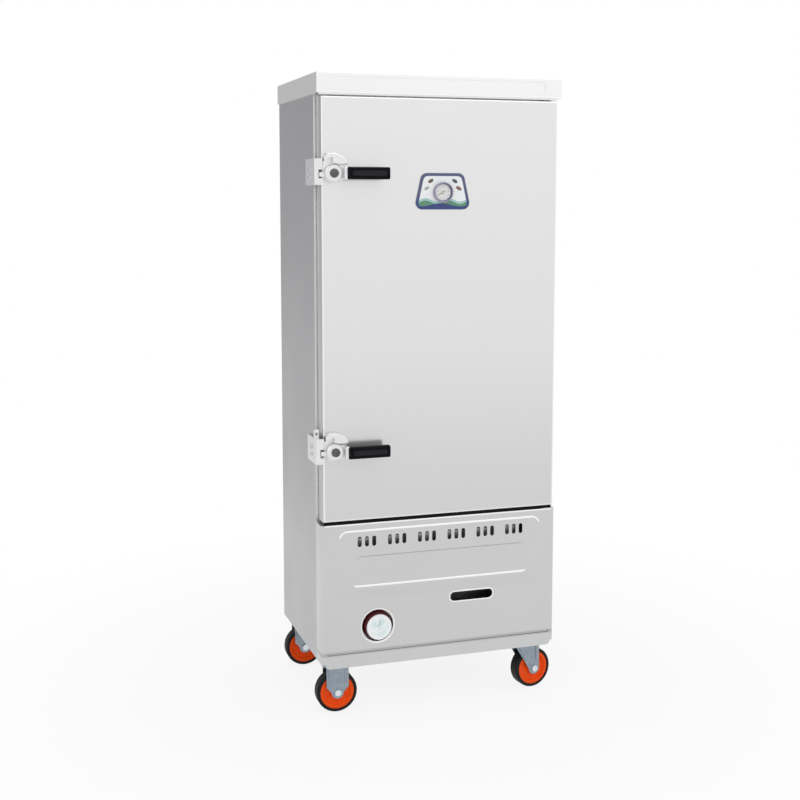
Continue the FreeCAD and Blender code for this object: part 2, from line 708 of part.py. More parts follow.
def drain_pipe():
    """The drain from the tank's floor to the valve behind the cabinet."""
    bend = 2 * DRAIN_RADIUS
    start = V(DRAIN_X, DRAIN_Y, TANK_BOTTOM)
    low = V(DRAIN_X, DRAIN_Y, DRAIN_Z + bend)
    turn = V(DRAIN_X, DRAIN_Y + bend * (1 - math.sqrt(0.5)), DRAIN_Z + bend * (1 - math.sqrt(0.5)))
    level = V(DRAIN_X, DRAIN_Y + bend, DRAIN_Z)
    end = V(DRAIN_X, DEPTH + BACK_REACH, DRAIN_Z)
    path = Part.Wire([Part.makeLine(start, low), Part.Arc(low, turn, level).toShape(), Part.makeLine(level, end)])
    outer = swept(path, DRAIN_RADIUS, start, V(0, 0, -1))
    inner = swept(path, DRAIN_RADIUS - PIPE_WALL, start, V(0, 0, -1))
    body = rod(DRAIN_BODY, (DRAIN_X, DEPTH, DRAIN_Z), (DRAIN_X, DEPTH + BACK_REACH - DRAIN_NIPPLE, DRAIN_Z))
    y = drain_handle_y()
    neck = rod(PIN_RADIUS, (DRAIN_X, y, DRAIN_Z), (DRAIN_X, y, DRAIN_Z + DRAIN_BODY + DRAIN_NECK))
    top = handle_level() + HANDLE_THICKNESS + HANDLE_POST
    post = rod(PIN_RADIUS / 2, (DRAIN_X, y, DRAIN_Z + DRAIN_BODY), (DRAIN_X, y, top))
    return outer.fuse(body).fuse(neck).fuse(post).cut(inner).removeSplitter()


def drain_handle_y():
    """Where the drain valve's spindle stands, in the middle of its body."""
    return DEPTH + (BACK_REACH - DRAIN_NIPPLE) / 2


def handle_level():
    """The underside of the drain valve's handle."""
    return DRAIN_Z + DRAIN_BODY + DRAIN_NECK + FIT


def drain_handle():
    """The flat lever that turns the drain valve."""
    y, z = drain_handle_y(), handle_level()
    half = HANDLE_WIDTH / 2
    blade = rounded_plate(DRAIN_X - HANDLE_LENGTH, DRAIN_X + half, y - half, y + half, half - FIT, z,
                          z + HANDLE_THICKNESS, "xy")
    return blade.cut(rod(PIN_RADIUS / 2 + RUNNING, (DRAIN_X, y, z - 1), (DRAIN_X, y, z + HANDLE_THICKNESS + 1)))


def swept(path, radius, start, direction):
    """A round section carried along a path."""
    circle = Part.Wire(Part.makeCircle(radius, start, direction))
    return path.makePipeShell([circle], True, False)


# Burner and gas line

def burner_shroud():
    """The four walls round the burners, open below, with the duct up to the fire tubes' mouths."""
    half, t = BURNER_HALF, SHEET
    foot = CARCASS_BOTTOM + BASE_SHEET
    walls = box(-half, half, BURNER_FRONT, BURNER_BACK, foot, TANK_BOTTOM)
    walls = walls.cut(box(-half + t, half - t, BURNER_FRONT + t, BURNER_BACK - t, foot - 1, TANK_BOTTOM + 1))
    top = TUBE_Z + FLUE_BOX_HEIGHT / 2
    duct = side_profile([(DUCT_FRONT, DUCT_BOTTOM), (BURNER_FRONT + t, DUCT_BOTTOM), (BURNER_FRONT + t, TANK_BOTTOM),
                         (TANK_FRONT, TANK_BOTTOM), (TANK_FRONT, top), (DUCT_FRONT, top)], -half, half)
    hollow = side_profile([(DUCT_FRONT + t, DUCT_BOTTOM + t), (BURNER_FRONT + 2 * t, DUCT_BOTTOM + t),
                           (BURNER_FRONT + 2 * t, TANK_BOTTOM - t), (TANK_FRONT + t, TANK_BOTTOM - t),
                           (TANK_FRONT + t, top - t), (DUCT_FRONT + t, top - t)], -half + t, half - t)
    walls = walls.fuse(duct).cut(hollow)
    for x in tube_places():
        walls = walls.cut(rod(BURNER_RADIUS, (x, BURNER_FRONT - 1, BURNER_HEIGHT), (x, BURNER_FRONT + 5, BURNER_HEIGHT)))
    return walls.removeSplitter()


def burners():
    """The bar burners, each a closed tube with a flame slot on top and an open mouth."""
    made = []
    for x in tube_places():
        start, end = BURNER_FRONT - BURNER_MOUTH, BURNER_BACK - SHEET
        bar = rod(BURNER_RADIUS, (x, start, BURNER_HEIGHT), (x, end, BURNER_HEIGHT))
        inside = rod(BURNER_RADIUS - BURNER_WALL, (x, start - 1, BURNER_HEIGHT), (x, end - BURNER_END, BURNER_HEIGHT))
        bar = bar.cut(inside)
        slit = box(x - BURNER_SLIT / 2, x + BURNER_SLIT / 2, BURNER_FRONT + BURNER_SLIT_MARGIN,
                   BURNER_BACK - BURNER_SLIT_MARGIN, BURNER_HEIGHT, BURNER_HEIGHT + BURNER_RADIUS + 1)
        made.append(bar.cut(slit))
    return Part.makeCompound(made)


def gas_manifold():
    """The gas rail across the burner mouths, with a nozzle for each and two straps."""
    reach = tube_places()[-1] + TUBE_RADIUS
    level = BURNER_HEIGHT
    pieces = [rod(MANIFOLD_RADIUS, (-reach, MANIFOLD_Y, level), (reach, MANIFOLD_Y, level))]
    for x in tube_places():
        pieces.append(rod(NOZZLE_RADIUS, (x, MANIFOLD_Y, level), (x, BURNER_FRONT + NOZZLE_ENTRY, level)))
    wide, thick = STRAP_WIDTH / 2, STRAP_THICKNESS / 2
    for x in (tube_places()[1] + TUBE_PITCH / 2, tube_places()[2] + TUBE_PITCH / 2):
        pieces.append(box(x - wide, x + wide, MANIFOLD_Y, BURNER_FRONT, level - thick, level + thick))
    return fused(pieces)


def gas_valve():
    """The valve body behind the knob, its flange on the panel, with its pipe to the rail."""
    half_x, half_z = VALVE_WIDTH / 2, VALVE_HEIGHT / 2
    back = VALVE_FRONT + VALVE_DEPTH
    body = box(KNOB_X - half_x, KNOB_X + half_x, VALVE_FRONT, back, KNOB_Z - half_z, KNOB_Z + half_z)
    flange = rod(DISH_FLOOR_RADIUS - VALVE_FLANGE_MARGIN, (KNOB_X, DISH_BACK, KNOB_Z), (KNOB_X, VALVE_FRONT, KNOB_Z))
    riser = rod(GAS_PIPE_RADIUS, (KNOB_X, MANIFOLD_Y, KNOB_Z), (KNOB_X, MANIFOLD_Y, BURNER_HEIGHT))
    rail = rod(MANIFOLD_RADIUS, (KNOB_X - VALVE_WIDTH, MANIFOLD_Y, BURNER_HEIGHT),
               (KNOB_X + VALVE_WIDTH, MANIFOLD_Y, BURNER_HEIGHT))
    valve = body.fuse(flange).fuse(riser).cut(rail)
    bore = rod(STEM_RADIUS + RUNNING, (KNOB_X, DISH_BACK - 1, KNOB_Z), (KNOB_X, back - VALVE_END, KNOB_Z))
    return valve.cut(bore).removeSplitter()


def gas_pipe():
    """The supply pipe from the thread at the back, along the left, to the valve."""
    z = KNOB_Z
    y = VALVE_FRONT + VALVE_DEPTH / 2
    bend = GAS_PIPE_BEND
    k = bend * (1 - math.sqrt(0.5))
    start = V(GAS_PIPE_X, DEPTH, z)
    before = V(GAS_PIPE_X, y + bend, z)
    middle = V(GAS_PIPE_X + k, y + k, z)
    after = V(GAS_PIPE_X + bend, y, z)
    end = V(KNOB_X - VALVE_WIDTH / 2, y, z)
    path = Part.Wire([Part.makeLine(start, before), Part.Arc(before, middle, after).toShape(),
                      Part.makeLine(after, end)])
    line = swept(path, GAS_PIPE_RADIUS, start, V(0, -1, 0))
    thread = rod(INLET_RADIUS, (GAS_PIPE_X, DEPTH, z), (GAS_PIPE_X, DEPTH + INLET_LENGTH, z))
    bore = rod(GAS_PIPE_RADIUS - PIPE_WALL, (GAS_PIPE_X, BACK_INSIDE, z), (GAS_PIPE_X, DEPTH + INLET_LENGTH + 1, z))
    return line.fuse(thread).fuse(back_flange(GAS_PIPE_X, z, INLET_RADIUS)).cut(bore).removeSplitter()


# Lower front

def wrapped(inset, y_end, z0, z1):
    """The plan of the front box, rounded at its two front corners, as a block."""
    half, radius = HALF - inset, CORNER_RADIUS - inset
    block = box(-half, half, inset + radius, y_end, z0, z1)
    block = block.fuse(box(-half + radius, half - radius, inset, y_end, z0, z1))
    for side in (-1, 1):
        x = side * (half - radius)
        block = block.fuse(rod(radius, (x, inset + radius, z0), (x, inset + radius, z1)))
    return block.removeSplitter()


def frustum(half, z0, z1, radius, y0, y1, fade):
    """A pressed form: a rounded outline at y0 that draws in at y1, by its flanks above and at both ends."""
    base = rounded_outline(-half, half, z0, z1, radius, y0)
    crown = rounded_outline(-half + END_FLANK, half - END_FLANK, z0 + fade, z1 - FLANK, radius - FLANK, y1)
    return Part.makeLoft([base, crown], True, True)


def raised_frame(offset):
    """The raised field round the recess, moved back by offset to draw its inner face."""
    field = frustum(PLATEAU_HALF, PLATEAU_BOTTOM - PLATEAU_FADE, PLATEAU_TOP, PLATEAU_RADIUS,
                    0, -PLATEAU_RISE, PLATEAU_FADE)
    recess = frustum(RECESS_HALF, RECESS_BOTTOM, RECESS_TOP, RECESS_RADIUS, -PLATEAU_RISE, 0, FLANK)
    field = field.cut(recess)
    field.translate(V(0, offset, 0))
    return field


def dish(offset):
    """The round hollow that the knob sits in."""
    return taper(DISH_RADIUS, DISH_FLOOR_RADIUS, (KNOB_X, offset, KNOB_Z), (KNOB_X, DISH_DEPTH + offset, KNOB_Z))


def vent_slots():
    """The groups of upright slots along the raised field."""
    slots = []
    for i in range(VENT_GROUPS):
        middle = (i - (VENT_GROUPS - 1) / 2) * VENT_PITCH
        for j in range(VENTS_PER_GROUP):
            x = middle + (j - (VENTS_PER_GROUP - 1) / 2) * VENT_SLOT_PITCH
            slots.append(stadium(x, VENT_LEVEL, VENT_SLOT_HEIGHT, VENT_SLOT,
                                 -2 * PLATEAU_RISE, 2 * DISH_DEPTH, upright=True))
    return slots


def lower_panel():
    """The wrapped front cover of the burner space, with its apron, pressed forms and openings."""
    t = SHEET
    panel = wrapped(0, FRAME_BACK, APRON_BOTTOM, SHELF_TOP)
    panel = panel.cut(wrapped(t, FRAME_BACK + 1, APRON_BOTTOM - 1, SHELF_TOP - t))
    for side in (-1, 1):
        x0, x1 = sorted((side * (HALF - CORNER_RADIUS - APRON_DROP), side * (HALF + 1)))
        corner = box(x0, x1, -1, FRAME_BACK + 1, APRON_BOTTOM - 1, CARCASS_BOTTOM)
        x = side * (HALF - CORNER_RADIUS - APRON_DROP)
        keep = rod(APRON_DROP, (x, -2, CARCASS_BOTTOM), (x, t + 1, CARCASS_BOTTOM))
        panel = panel.cut(corner.cut(keep))
    panel = panel.fuse(raised_frame(0)).cut(raised_frame(t))
    panel = panel.fuse(dish(t)).cut(dish(0))
    panel = panel.cut(rod(STEM_HOLE, (KNOB_X, 0, KNOB_Z), (KNOB_X, 2 * DISH_DEPTH, KNOB_Z)))
    x1, low, high = GROOVE_HALF, GROOVE_LEVEL - GROOVE_WIDTH / 2, GROOVE_LEVEL + GROOVE_WIDTH / 2
    back = rounded_plate(-x1 + t, x1 - t, low - t, high + t, GROOVE_WIDTH / 2, t, t + GROOVE_DEPTH)
    panel = panel.fuse(back)
    panel = panel.cut(stadium(0, GROOVE_LEVEL, 2 * GROOVE_HALF, GROOVE_WIDTH, -1, GROOVE_DEPTH))
    panel = panel.cut(stadium(SLOT_X, SLOT_Z, SLOT_LENGTH, SLOT_WIDTH, -1, 2 * DISH_DEPTH))
    for slot in vent_slots():
        panel = panel.cut(slot)
    return panel.removeSplitter()


# Gas knob

def valve_stem():
    """The valve's spindle, which pushes in and carries the knob."""
    back = VALVE_FRONT + VALVE_DEPTH - VALVE_END - STEM_ROOM
    return rod(STEM_RADIUS, (KNOB_X, KNOB_BACK - KNOB_LENGTH / 2, KNOB_Z), (KNOB_X, back, KNOB_Z))


def gas_knob():
    """The conical knob body, bored for the spindle and hollowed for its cap."""
    front = KNOB_BACK - KNOB_LENGTH
    body = taper(KNOB_BASE_RADIUS, KNOB_FACE_RADIUS, (KNOB_X, KNOB_BACK, KNOB_Z), (KNOB_X, front, KNOB_Z))
    seat = rod(KNOB_CAP_RADIUS, (KNOB_X, front - 1, KNOB_Z), (KNOB_X, front + KNOB_CAP_THICKNESS, KNOB_Z))
    bore = rod(STEM_RADIUS + RUNNING, (KNOB_X, KNOB_BACK - KNOB_LENGTH / 2 - FIT, KNOB_Z),
               (KNOB_X, KNOB_BACK + 1, KNOB_Z))
    return body.cut(seat).cut(bore)


def knob_cap():
    """The bright disc set in the knob's face, with a pointer ridge."""
    front = KNOB_BACK - KNOB_LENGTH
    disc = rod(KNOB_CAP_RADIUS - RUNNING, (KNOB_X, front, KNOB_Z), (KNOB_X, front + KNOB_CAP_THICKNESS, KNOB_Z))
    half, wide = KNOB_CAP_RADIUS - RIDGE_MARGIN, RIDGE_WIDTH / 2
    ridge = box(KNOB_X - wide, KNOB_X + wide, front - KNOB_RIDGE, front, KNOB_Z - half, KNOB_Z + half)
    return disc.fuse(ridge).removeSplitter()


# Door

def door_bores(extra):
    """The holes in the door for the hinge bushes and the thermometer's probe."""
    holes = []
    for z0, z1 in bush_spans():
        holes.append(rod(BUSH_RADIUS, (HINGE_X, HINGE_DEPTH, z0), (HINGE_X, HINGE_DEPTH, z1)))
    holes.append(rod(PROBE_RADIUS + extra, (0, -1, GAUGE_Z), (0, DOOR_THICKNESS + 1, GAUGE_Z)))
    return holes


def bush_spans():
    """The lowest and highest level of each hinge bush's barrel."""
    return ((DOOR_BOTTOM, DOOR_BOTTOM + BUSH_LENGTH), (DOOR_TOP - BUSH_LENGTH, DOOR_TOP))


def door_skin():
    """The outer pan of the door, with rounded front edges."""
    t = SHEET
    pan = box(-DOOR_HALF, DOOR_HALF, 0, DOOR_THICKNESS, DOOR_BOTTOM, DOOR_TOP)
    front_edges = [e for e in pan.Edges if all(abs(v.Y) < 0.01 for v in e.Vertexes)]
    pan = pan.makeFillet(DOOR_EDGE_RADIUS, front_edges)
    pan = pan.cut(box(-DOOR_HALF + t, DOOR_HALF - t, DOOR_EDGE_RADIUS, DOOR_THICKNESS + 1,
                      DOOR_BOTTOM + t, DOOR_TOP - t))
    inset = DOOR_EDGE_RADIUS
    pan = pan.cut(box(-DOOR_HALF + inset, DOOR_HALF - inset, t, DOOR_EDGE_RADIUS + 1,
                      DOOR_BOTTOM + inset, DOOR_TOP - inset))
    for hole in door_bores(FIT):
        pan = pan.cut(hole)
    return pan.removeSplitter()


def door_foam():
    """The foam slab that fills the door."""
    t, inset = SHEET, DOOR_EDGE_RADIUS
    slab = box(-DOOR_HALF + t, DOOR_HALF - t, DOOR_EDGE_RADIUS, DOOR_THICKNESS - t, DOOR_BOTTOM + t, DOOR_TOP - t)
    slab = slab.fuse(box(-DOOR_HALF + inset, DOOR_HALF - inset, t, DOOR_EDGE_RADIUS,
                         DOOR_BOTTOM + inset, DOOR_TOP - inset))
    for hole in door_bores(FIT):
        slab = slab.cut(hole)
    return slab.removeSplitter()


def door_inner_skin():
    """The door's inner sheet, set into the pan."""
    t = SHEET
    sheet = box(-DOOR_HALF + t, DOOR_HALF - t, DOOR_THICKNESS - t, DOOR_THICKNESS, DOOR_BOTTOM + t, DOOR_TOP - t)
    return sheet.cut(door_bores(FIT)[-1])


def door_gasket():
    """The seal ring on the door's inner face."""
    half = OPENING_HALF + GASKET_MARGIN
    low, high = OPENING_BOTTOM - GASKET_MARGIN, CEILING - SHEET + GASKET_MARGIN
    w, y1 = GASKET_WIDTH, DOOR_THICKNESS + GASKET_THICKNESS
    ring = rounded_plate(-half - w, half + w, low - w, high + w, w, DOOR_THICKNESS, y1)
    return ring.cut(box(-half, half, DOOR_THICKNESS - 1, y1 + 1, low, high))


def hinge_bushes():
    """The two bushes in the door that turn on the hinge pins."""
    made = []
    for (z0, z1), up in zip(bush_spans(), (1, -1)):
        bush = rod(BUSH_RADIUS - RUNNING, (HINGE_X, HINGE_DEPTH, z0), (HINGE_X, HINGE_DEPTH, z1))
        edge = z0 if up > 0 else z1
        lip = rod(BUSH_RADIUS + BUSH_LIP, (HINGE_X, HINGE_DEPTH, edge - up * BUSH_LIP), (HINGE_X, HINGE_DEPTH, edge))
        low = min(z0, edge - up * BUSH_LIP) - 1
        high = max(z1, edge - up * BUSH_LIP) + 1
        bore = rod(PIN_RADIUS + RUNNING, (HINGE_X, HINGE_DEPTH, low), (HINGE_X, HINGE_DEPTH, high))
        made.append(bush.fuse(lip).cut(bore).removeSplitter())
    return Part.makeCompound(made)


def hinge_brackets():
    """The plates under the cap and on the lower box, each with a pin that the door turns on."""
    half, made = BRACKET_WIDTH / 2, []
    for root, up in ((SHELF_TOP, 1), (CAP_BOTTOM, -1)):
        z0, z1 = sorted((root, root + up * BRACKET_THICKNESS))
        plate = box(HINGE_X - half, HINGE_X + half, BRACKET_SETBACK, FRAME_Y, z0, z1)
        tip = root + up * (BRACKET_THICKNESS + PIN_LENGTH)
        made.append(fused([plate, rod(PIN_RADIUS, (HINGE_X, HINGE_DEPTH, root), (HINGE_X, HINGE_DEPTH, tip))]))
    return Part.makeCompound(made)


# Thermometer

def gauge_plate():
    """The face plate, wider at its foot, with rounded corners."""
    low, high = GAUGE_Z - GAUGE_BOTTOM, GAUGE_Z + GAUGE_TOP
    foot, head = GAUGE_BOTTOM_WIDTH / 2, GAUGE_TOP_WIDTH / 2
    plate = outline_plate([(-foot, low), (foot, low), (head, high), (-head, high)], -GAUGE_PLATE, 0)
    upright = [e for e in plate.Edges
               if abs(e.Vertexes[0].Y - e.Vertexes[1].Y) > GAUGE_PLATE / 2]
    plate = plate.makeFillet(GAUGE_CORNER, upright)
    return plate.cut(rod(PROBE_RADIUS + FIT, (0, -GAUGE_PLATE - 1, GAUGE_Z), (0, 1, GAUGE_Z)))


def gauge_case():
    """The round case with its dial, centre post and the probe through the door."""
    y0 = -GAUGE_PLATE
    front = y0 - BEZEL_DEPTH
    case = rod(DIAL_RADIUS, (0, y0, GAUGE_Z), (0, front, GAUGE_Z))
    dial = y0 - DIAL_THICKNESS
    case = case.cut(rod(DIAL_RADIUS - BEZEL_WIDTH, (0, dial, GAUGE_Z), (0, front - 1, GAUGE_Z)))
    post = rod(POST_RADIUS, (0, dial, GAUGE_Z), (0, front + 2 * LENS_THICKNESS + FIT, GAUGE_Z))
    probe = rod(PROBE_RADIUS, (0, y0, GAUGE_Z), (0, DOOR_THICKNESS + GASKET_THICKNESS, GAUGE_Z))
    return case.fuse(post).fuse(probe).removeSplitter()


def gauge_needle():
    """The needle, with its round hub on the post."""
    y = -GAUGE_PLATE - NEEDLE_STANDOFF
    back = y + NEEDLE_THICKNESS
    hub = rod(NEEDLE_HUB, (0, y, GAUGE_Z), (0, back, GAUGE_Z))
    half, tip = NEEDLE_WIDTH / 2, NEEDLE_TIP / 2
    tail, end = GAUGE_Z - NEEDLE_TAIL, GAUGE_Z + NEEDLE_LENGTH
    needle = hub.fuse(outline_plate([(-half, tail), (half, tail), (tip, end), (-tip, end)], y, back))
    needle.rotate(V(0, 0, GAUGE_Z), V(0, -1, 0), NEEDLE_ANGLE)
    return needle.cut(rod(POST_RADIUS + RUNNING, (0, y - 1, GAUGE_Z), (0, back + 1, GAUGE_Z)))


def gauge_lens():
    """The clear disc in the case's mouth."""
    front = -GAUGE_PLATE - BEZEL_DEPTH + LENS_THICKNESS / 2
    return rod(DIAL_RADIUS - BEZEL_WIDTH - RUNNING, (0, front, GAUGE_Z), (0, front + LENS_THICKNESS, GAUGE_Z))


# Latches

def latch_housing(z):
    """The cast base of a latch on the door's face, with a hood over the lever."""
    x, r = LATCH_X, HOUSING_RADIUS
    rim = LEVER_RADIUS + LEVER_CLEARANCE
    c, top, right = HOOD_CORNER, z + HOOD_HEIGHT, x + HOOD_WIDTH
    crest = [(x - r, z + r), (x - r, top - c), (x - r + c, top), (x + HOOD_STEP, top), (right - c, top - c),
             (right, z + HOOD_START + c), (right, z + HOOD_START)]
    base = outline_plate([(x - r, z)] + crest + [(x + r, z)], -HOUSING_THICKNESS, 0)
    base = base.fuse(rod(r, (x, -HOUSING_THICKNESS, z), (x, 0, z)))
    hood = outline_plate([(x - r, z + HOOD_START)] + crest[1:], -LEVER_FRONT, -HOUSING_THICKNESS)
    hood = hood.makeFillet(HOOD_ROUND, [e for e in hood.Edges if all(abs(v.Y + LEVER_FRONT) < 0.01 for v in e.Vertexes)])
    hood = hood.cut(rod(rim, (x, -LEVER_FRONT - 1, z), (x, -HOUSING_THICKNESS, z)))
    sweep = rod(LEVER_NOSE + 2 * LEVER_CLEARANCE, (x, -LEVER_FRONT - 1, z), (x, -HOUSING_THICKNESS, z))
    left = box(x - 2 * HOOD_HEIGHT, x - 2 * LEVER_CLEARANCE, -LEVER_FRONT - 1, 0, z, z + 2 * HOOD_HEIGHT)
    body = base.fuse(hood.cut(sweep.common(left)))
    hole = rod(BOLT_RADIUS + RUNNING, (x, -HOUSING_THICKNESS - 1, z), (x, -BOLT_COVER, z))
    return body.cut(hole).removeSplitter()


def latch_lever(z):
    """The lever: a flat tongue towards the strike, under the casting with its neck and tang."""
    x, bevel = LATCH_X, 2 * LEVER_CLEARANCE
    nose = box(x - LEVER_NOSE, x, -TONGUE_FRONT, -LEVER_BACK, z - NOSE_BOTTOM, z + NOSE_TOP)
    tongue = fused([rod(LEVER_RADIUS, (x, -LEVER_BACK, z), (x, -TONGUE_FRONT, z)), nose])
    disc = rod(LEVER_RADIUS, (x, -TONGUE_FRONT, z), (x, -LEVER_FRONT + bevel, z))
    dome = taper(LEVER_RADIUS, LEVER_RADIUS - bevel, (x, -LEVER_FRONT + bevel, z), (x, -LEVER_FRONT, z))
    tang_y = -GRIP_STANDOFF - GRIP_DEPTH / 2
    y0, y1 = tang_y - TANG_THICKNESS / 2, tang_y + TANG_THICKNESS / 2
    wide = LEVER_RADIUS - bevel
    arm = outline_plate([(x + NECK_HALF / 2, z - wide), (x + NECK_END, z - NECK_HALF), (x + NECK_END, z + NECK_HALF),
                         (x + NECK_HALF / 2, z + wide)], -LEVER_FRONT + bevel, -TONGUE_FRONT)
    neck = box(x + NECK_START, x + NECK_END, y0, -TONGUE_FRONT, z - NECK_HALF, z + NECK_HALF)
    ends = [e for e in neck.Edges if all(abs(v.Y - y0) < 0.01 for v in e.Vertexes)]
    neck = neck.makeFillet(HOOD_ROUND, ends)
    tang = box(x + NECK_START, x + NECK_END + TANG_LENGTH, y0 + NECK_PROUD, y1, z - TANG_HALF, z + TANG_HALF)
    casting = fused([disc, dome, arm, neck, tang])
    bore = rod(BOLT_RADIUS + RUNNING, (x, -LEVER_BACK + 1, z), (x, -LEVER_FRONT - 1, z))
    return Part.makeCompound([tongue.cut(bore), casting.cut(bore)])


def latch_grip(z):
    """The grip moulded over the lever's tang."""
    x0 = LATCH_X + NECK_END
    x1 = x0 + GRIP_LENGTH
    half = GRIP_HEIGHT / 2
    grip = box(x0, x1, -GRIP_FRONT, -GRIP_STANDOFF, z - half, z + half)
    long_edges = [e for e in grip.Edges if abs(e.Vertexes[0].X - e.Vertexes[1].X) > GRIP_LENGTH / 2]
    grip = grip.makeFillet(GRIP_ROUND, long_edges)
    end_edges = [e for e in grip.Edges if all(abs(v.X - x1) < 0.01 for v in e.Vertexes)]
    grip = grip.makeFillet(GRIP_ROUND / 3, end_edges)
    tang_y = -GRIP_STANDOFF - GRIP_DEPTH / 2
    hole = box(x0 - 1, x0 + TANG_LENGTH, tang_y - TANG_THICKNESS / 2 + NECK_PROUD, tang_y + TANG_THICKNESS / 2,
               z - TANG_HALF, z + TANG_HALF)
    return grip.cut(hole)


def latch_bolts():
    """The pivot bolts through both levers into their housings."""
    made = []
    for z in LATCH_LEVELS:
        shank = rod(BOLT_RADIUS, (LATCH_X, -LEVER_FRONT - FIT, z), (LATCH_X, -BOLT_COVER, z))
        start = -LEVER_FRONT - FIT
        head = taper(BOLT_HEAD, BOLT_FACE, (LATCH_X, start, z), (LATCH_X, start - BOLT_HEAD_HEIGHT, z))
        made.append(shank.fuse(head).removeSplitter())
    return Part.makeCompound(made)


def strike(z, eared):
    """A catch on the cabinet's side: an arm on a pad, with two lips that stand before the lever's nose."""
    outer = -HALF - STRIKE_PAD - STRIKE_THICKNESS
    inner = -HALF - STRIKE_PAD
    lip_back = -TONGUE_FRONT - LIP_CLEARANCE
    front = lip_back - LIP_THICKNESS
    low, high = z - STRIKE_BOTTOM, z + STRIKE_TOP
    arm = box(outer, inner, front, FRAME_BACK + STRIKE_BACK, low, high)
    corner = [e for e in arm.Edges if all(abs(v.X - outer) < 0.01 and abs(v.Y - front) < 0.01 for v in e.Vertexes)]
    pieces = [arm.makeFillet(STRIKE_ROUND, corner),
              box(inner, -HALF, FRAME_BACK + 1, FRAME_BACK + STRIKE_BACK, low, high),
              box(inner, -HALF + LIP_EDGE, front, lip_back, low, z - NOTCH_BOTTOM),
              box(inner, -HALF + LIP_EDGE, front, lip_back, z + NOTCH_TOP, high)]
    if eared:
        middle, level = (outer + inner) / 2, high + STRIKE_THICKNESS
        ear = rounded_plate(outer, inner, high - STRIKE_THICKNESS, high + EAR_HEIGHT, STRIKE_THICKNESS / 2 - FIT,
                            0, STRIKE_THICKNESS)
        ear = ear.cut(box(outer, inner, -1, STRIKE_THICKNESS + 1, low, high))
        pieces.append(ear.cut(rod(EAR_HOLE, (middle, -1, level), (middle, STRIKE_THICKNESS + 1, level))))
    return pieces


def strike_screws():
    """The screws that hold the lips of the strikes."""
    outer = -HALF - STRIKE_PAD - STRIKE_THICKNESS
    made = []
    for z in LATCH_LEVELS:
        for side in (-1, 1):
            level = z + side * SCREW_SPACING
            made.append(rod(SCREW_RADIUS, (outer - SCREW_HEAD, SCREW_SETBACK, level), (outer, SCREW_SETBACK, level)))
    return Part.makeCompound(made)


# Casters

def leg_edge(z, knee, spread, foot):
    """Where a leg's edge lies at a level: straight down from its spread to the knee, then in to the foot."""
    if z >= knee:
        return spread
    return foot + (spread - foot) * (z - WHEEL_RADIUS) / (knee - WHEEL_RADIUS)


def legs(top, foot_x, left, right, knee):
    """Both legs of a caster about its own axis, round at the axle, with a pressed rib along each edge."""
    near = TYRE_WIDTH / 2 + LEG_GAP
    far = near + LEG_THICKNESS
    feet = ((-left, foot_x - LEG_END, 1), (right, foot_x + LEG_END, -1))
    start = WHEEL_RADIUS + RIB_START
    pieces = []
    for side in (-1, 1):
        y0, y1 = sorted((side * near, side * far))
        r0, r1 = sorted((side * far, side * (far + RIB_HEIGHT)))
        leg = outline_plate([(-left, top), (right, top), (right, knee), (foot_x + LEG_END, WHEEL_RADIUS),
                             (foot_x - LEG_END, WHEEL_RADIUS), (-left, knee)], y0, y1)
        leg = leg.fuse(rod(LEG_END, (foot_x, y0, WHEEL_RADIUS), (foot_x, y1, WHEEL_RADIUS)))
        for spread, foot, inward in feet:
            low, high = [leg_edge(z, knee, spread, foot) + inward * RIB_INSET for z in (start, top)]
            leg = leg.fuse(outline_plate([(high, top), (high + inward * RIB_WIDTH, top),
                                          (low + inward * RIB_WIDTH, start), (low, start)], r0, r1))
        pieces.append(leg)
    return pieces, far


def axle_hole(foot_x, reach):
    """The hole through both legs for the axle bolt."""
    return rod(AXLE_RADIUS + RUNNING, (foot_x, -reach - 5, WHEEL_RADIUS), (foot_x, reach + 5, WHEEL_RADIUS))


def caster_plate():
    """The mounting plate of a caster, about its own axis."""
    return box(-CASTER_PLATE_LENGTH / 2, CASTER_PLATE_LENGTH / 2, -CASTER_PLATE_WIDTH / 2, CASTER_PLATE_WIDTH / 2,
               CARCASS_BOTTOM - CASTER_PLATE, CARCASS_BOTTOM)


def rigid_bracket():
    """A fixed caster's bracket: plate, crown and two legs in one pressing."""
    top = CARCASS_BOTTOM - CASTER_PLATE
    pieces, reach = legs(top, 0, LEG_HALF, LEG_HALF, WHEEL_RADIUS + LEG_KNEE)
    crown = box(-LEG_HALF, LEG_HALF, -reach, reach, top - LEG_THICKNESS, top)
    return fused([caster_plate(), crown] + pieces).cut(axle_hole(0, reach))


def swivel_top():
    """A swivel caster's fixed plate, race and kingpin."""
    top = CARCASS_BOTTOM - CASTER_PLATE
    race_bottom = top - RACE_HEIGHT
    crown_bottom = race_bottom - CROWN_THICKNESS - 2 * FIT
    race = rod(RACE_RADIUS, (0, 0, race_bottom), (0, 0, top))
    pin = rod(KINGPIN_RADIUS, (0, 0, crown_bottom), (0, 0, top))
    head = rod(KINGPIN_HEAD, (0, 0, crown_bottom - KINGPIN_HEAD_HEIGHT), (0, 0, crown_bottom))
    return fused([caster_plate(), race, pin, head])


def swivel_fork():
    """A swivel caster's fork, hung on the kingpin."""
    crown_top = CARCASS_BOTTOM - CASTER_PLATE - RACE_HEIGHT - FIT
    crown_bottom = crown_top - CROWN_THICKNESS
    pieces, reach = legs(crown_top, TRAIL, FORK_BACK, FORK_FRONT, crown_bottom)
    crown = box(-FORK_BACK, FORK_FRONT, -reach, reach, crown_bottom, crown_top)
    fork = fused([crown] + pieces)
    fork = fork.cut(rod(KINGPIN_RADIUS + RUNNING, (0, 0, crown_bottom - 1), (0, 0, crown_top + 1)))
    return fork.cut(axle_hole(TRAIL, reach))


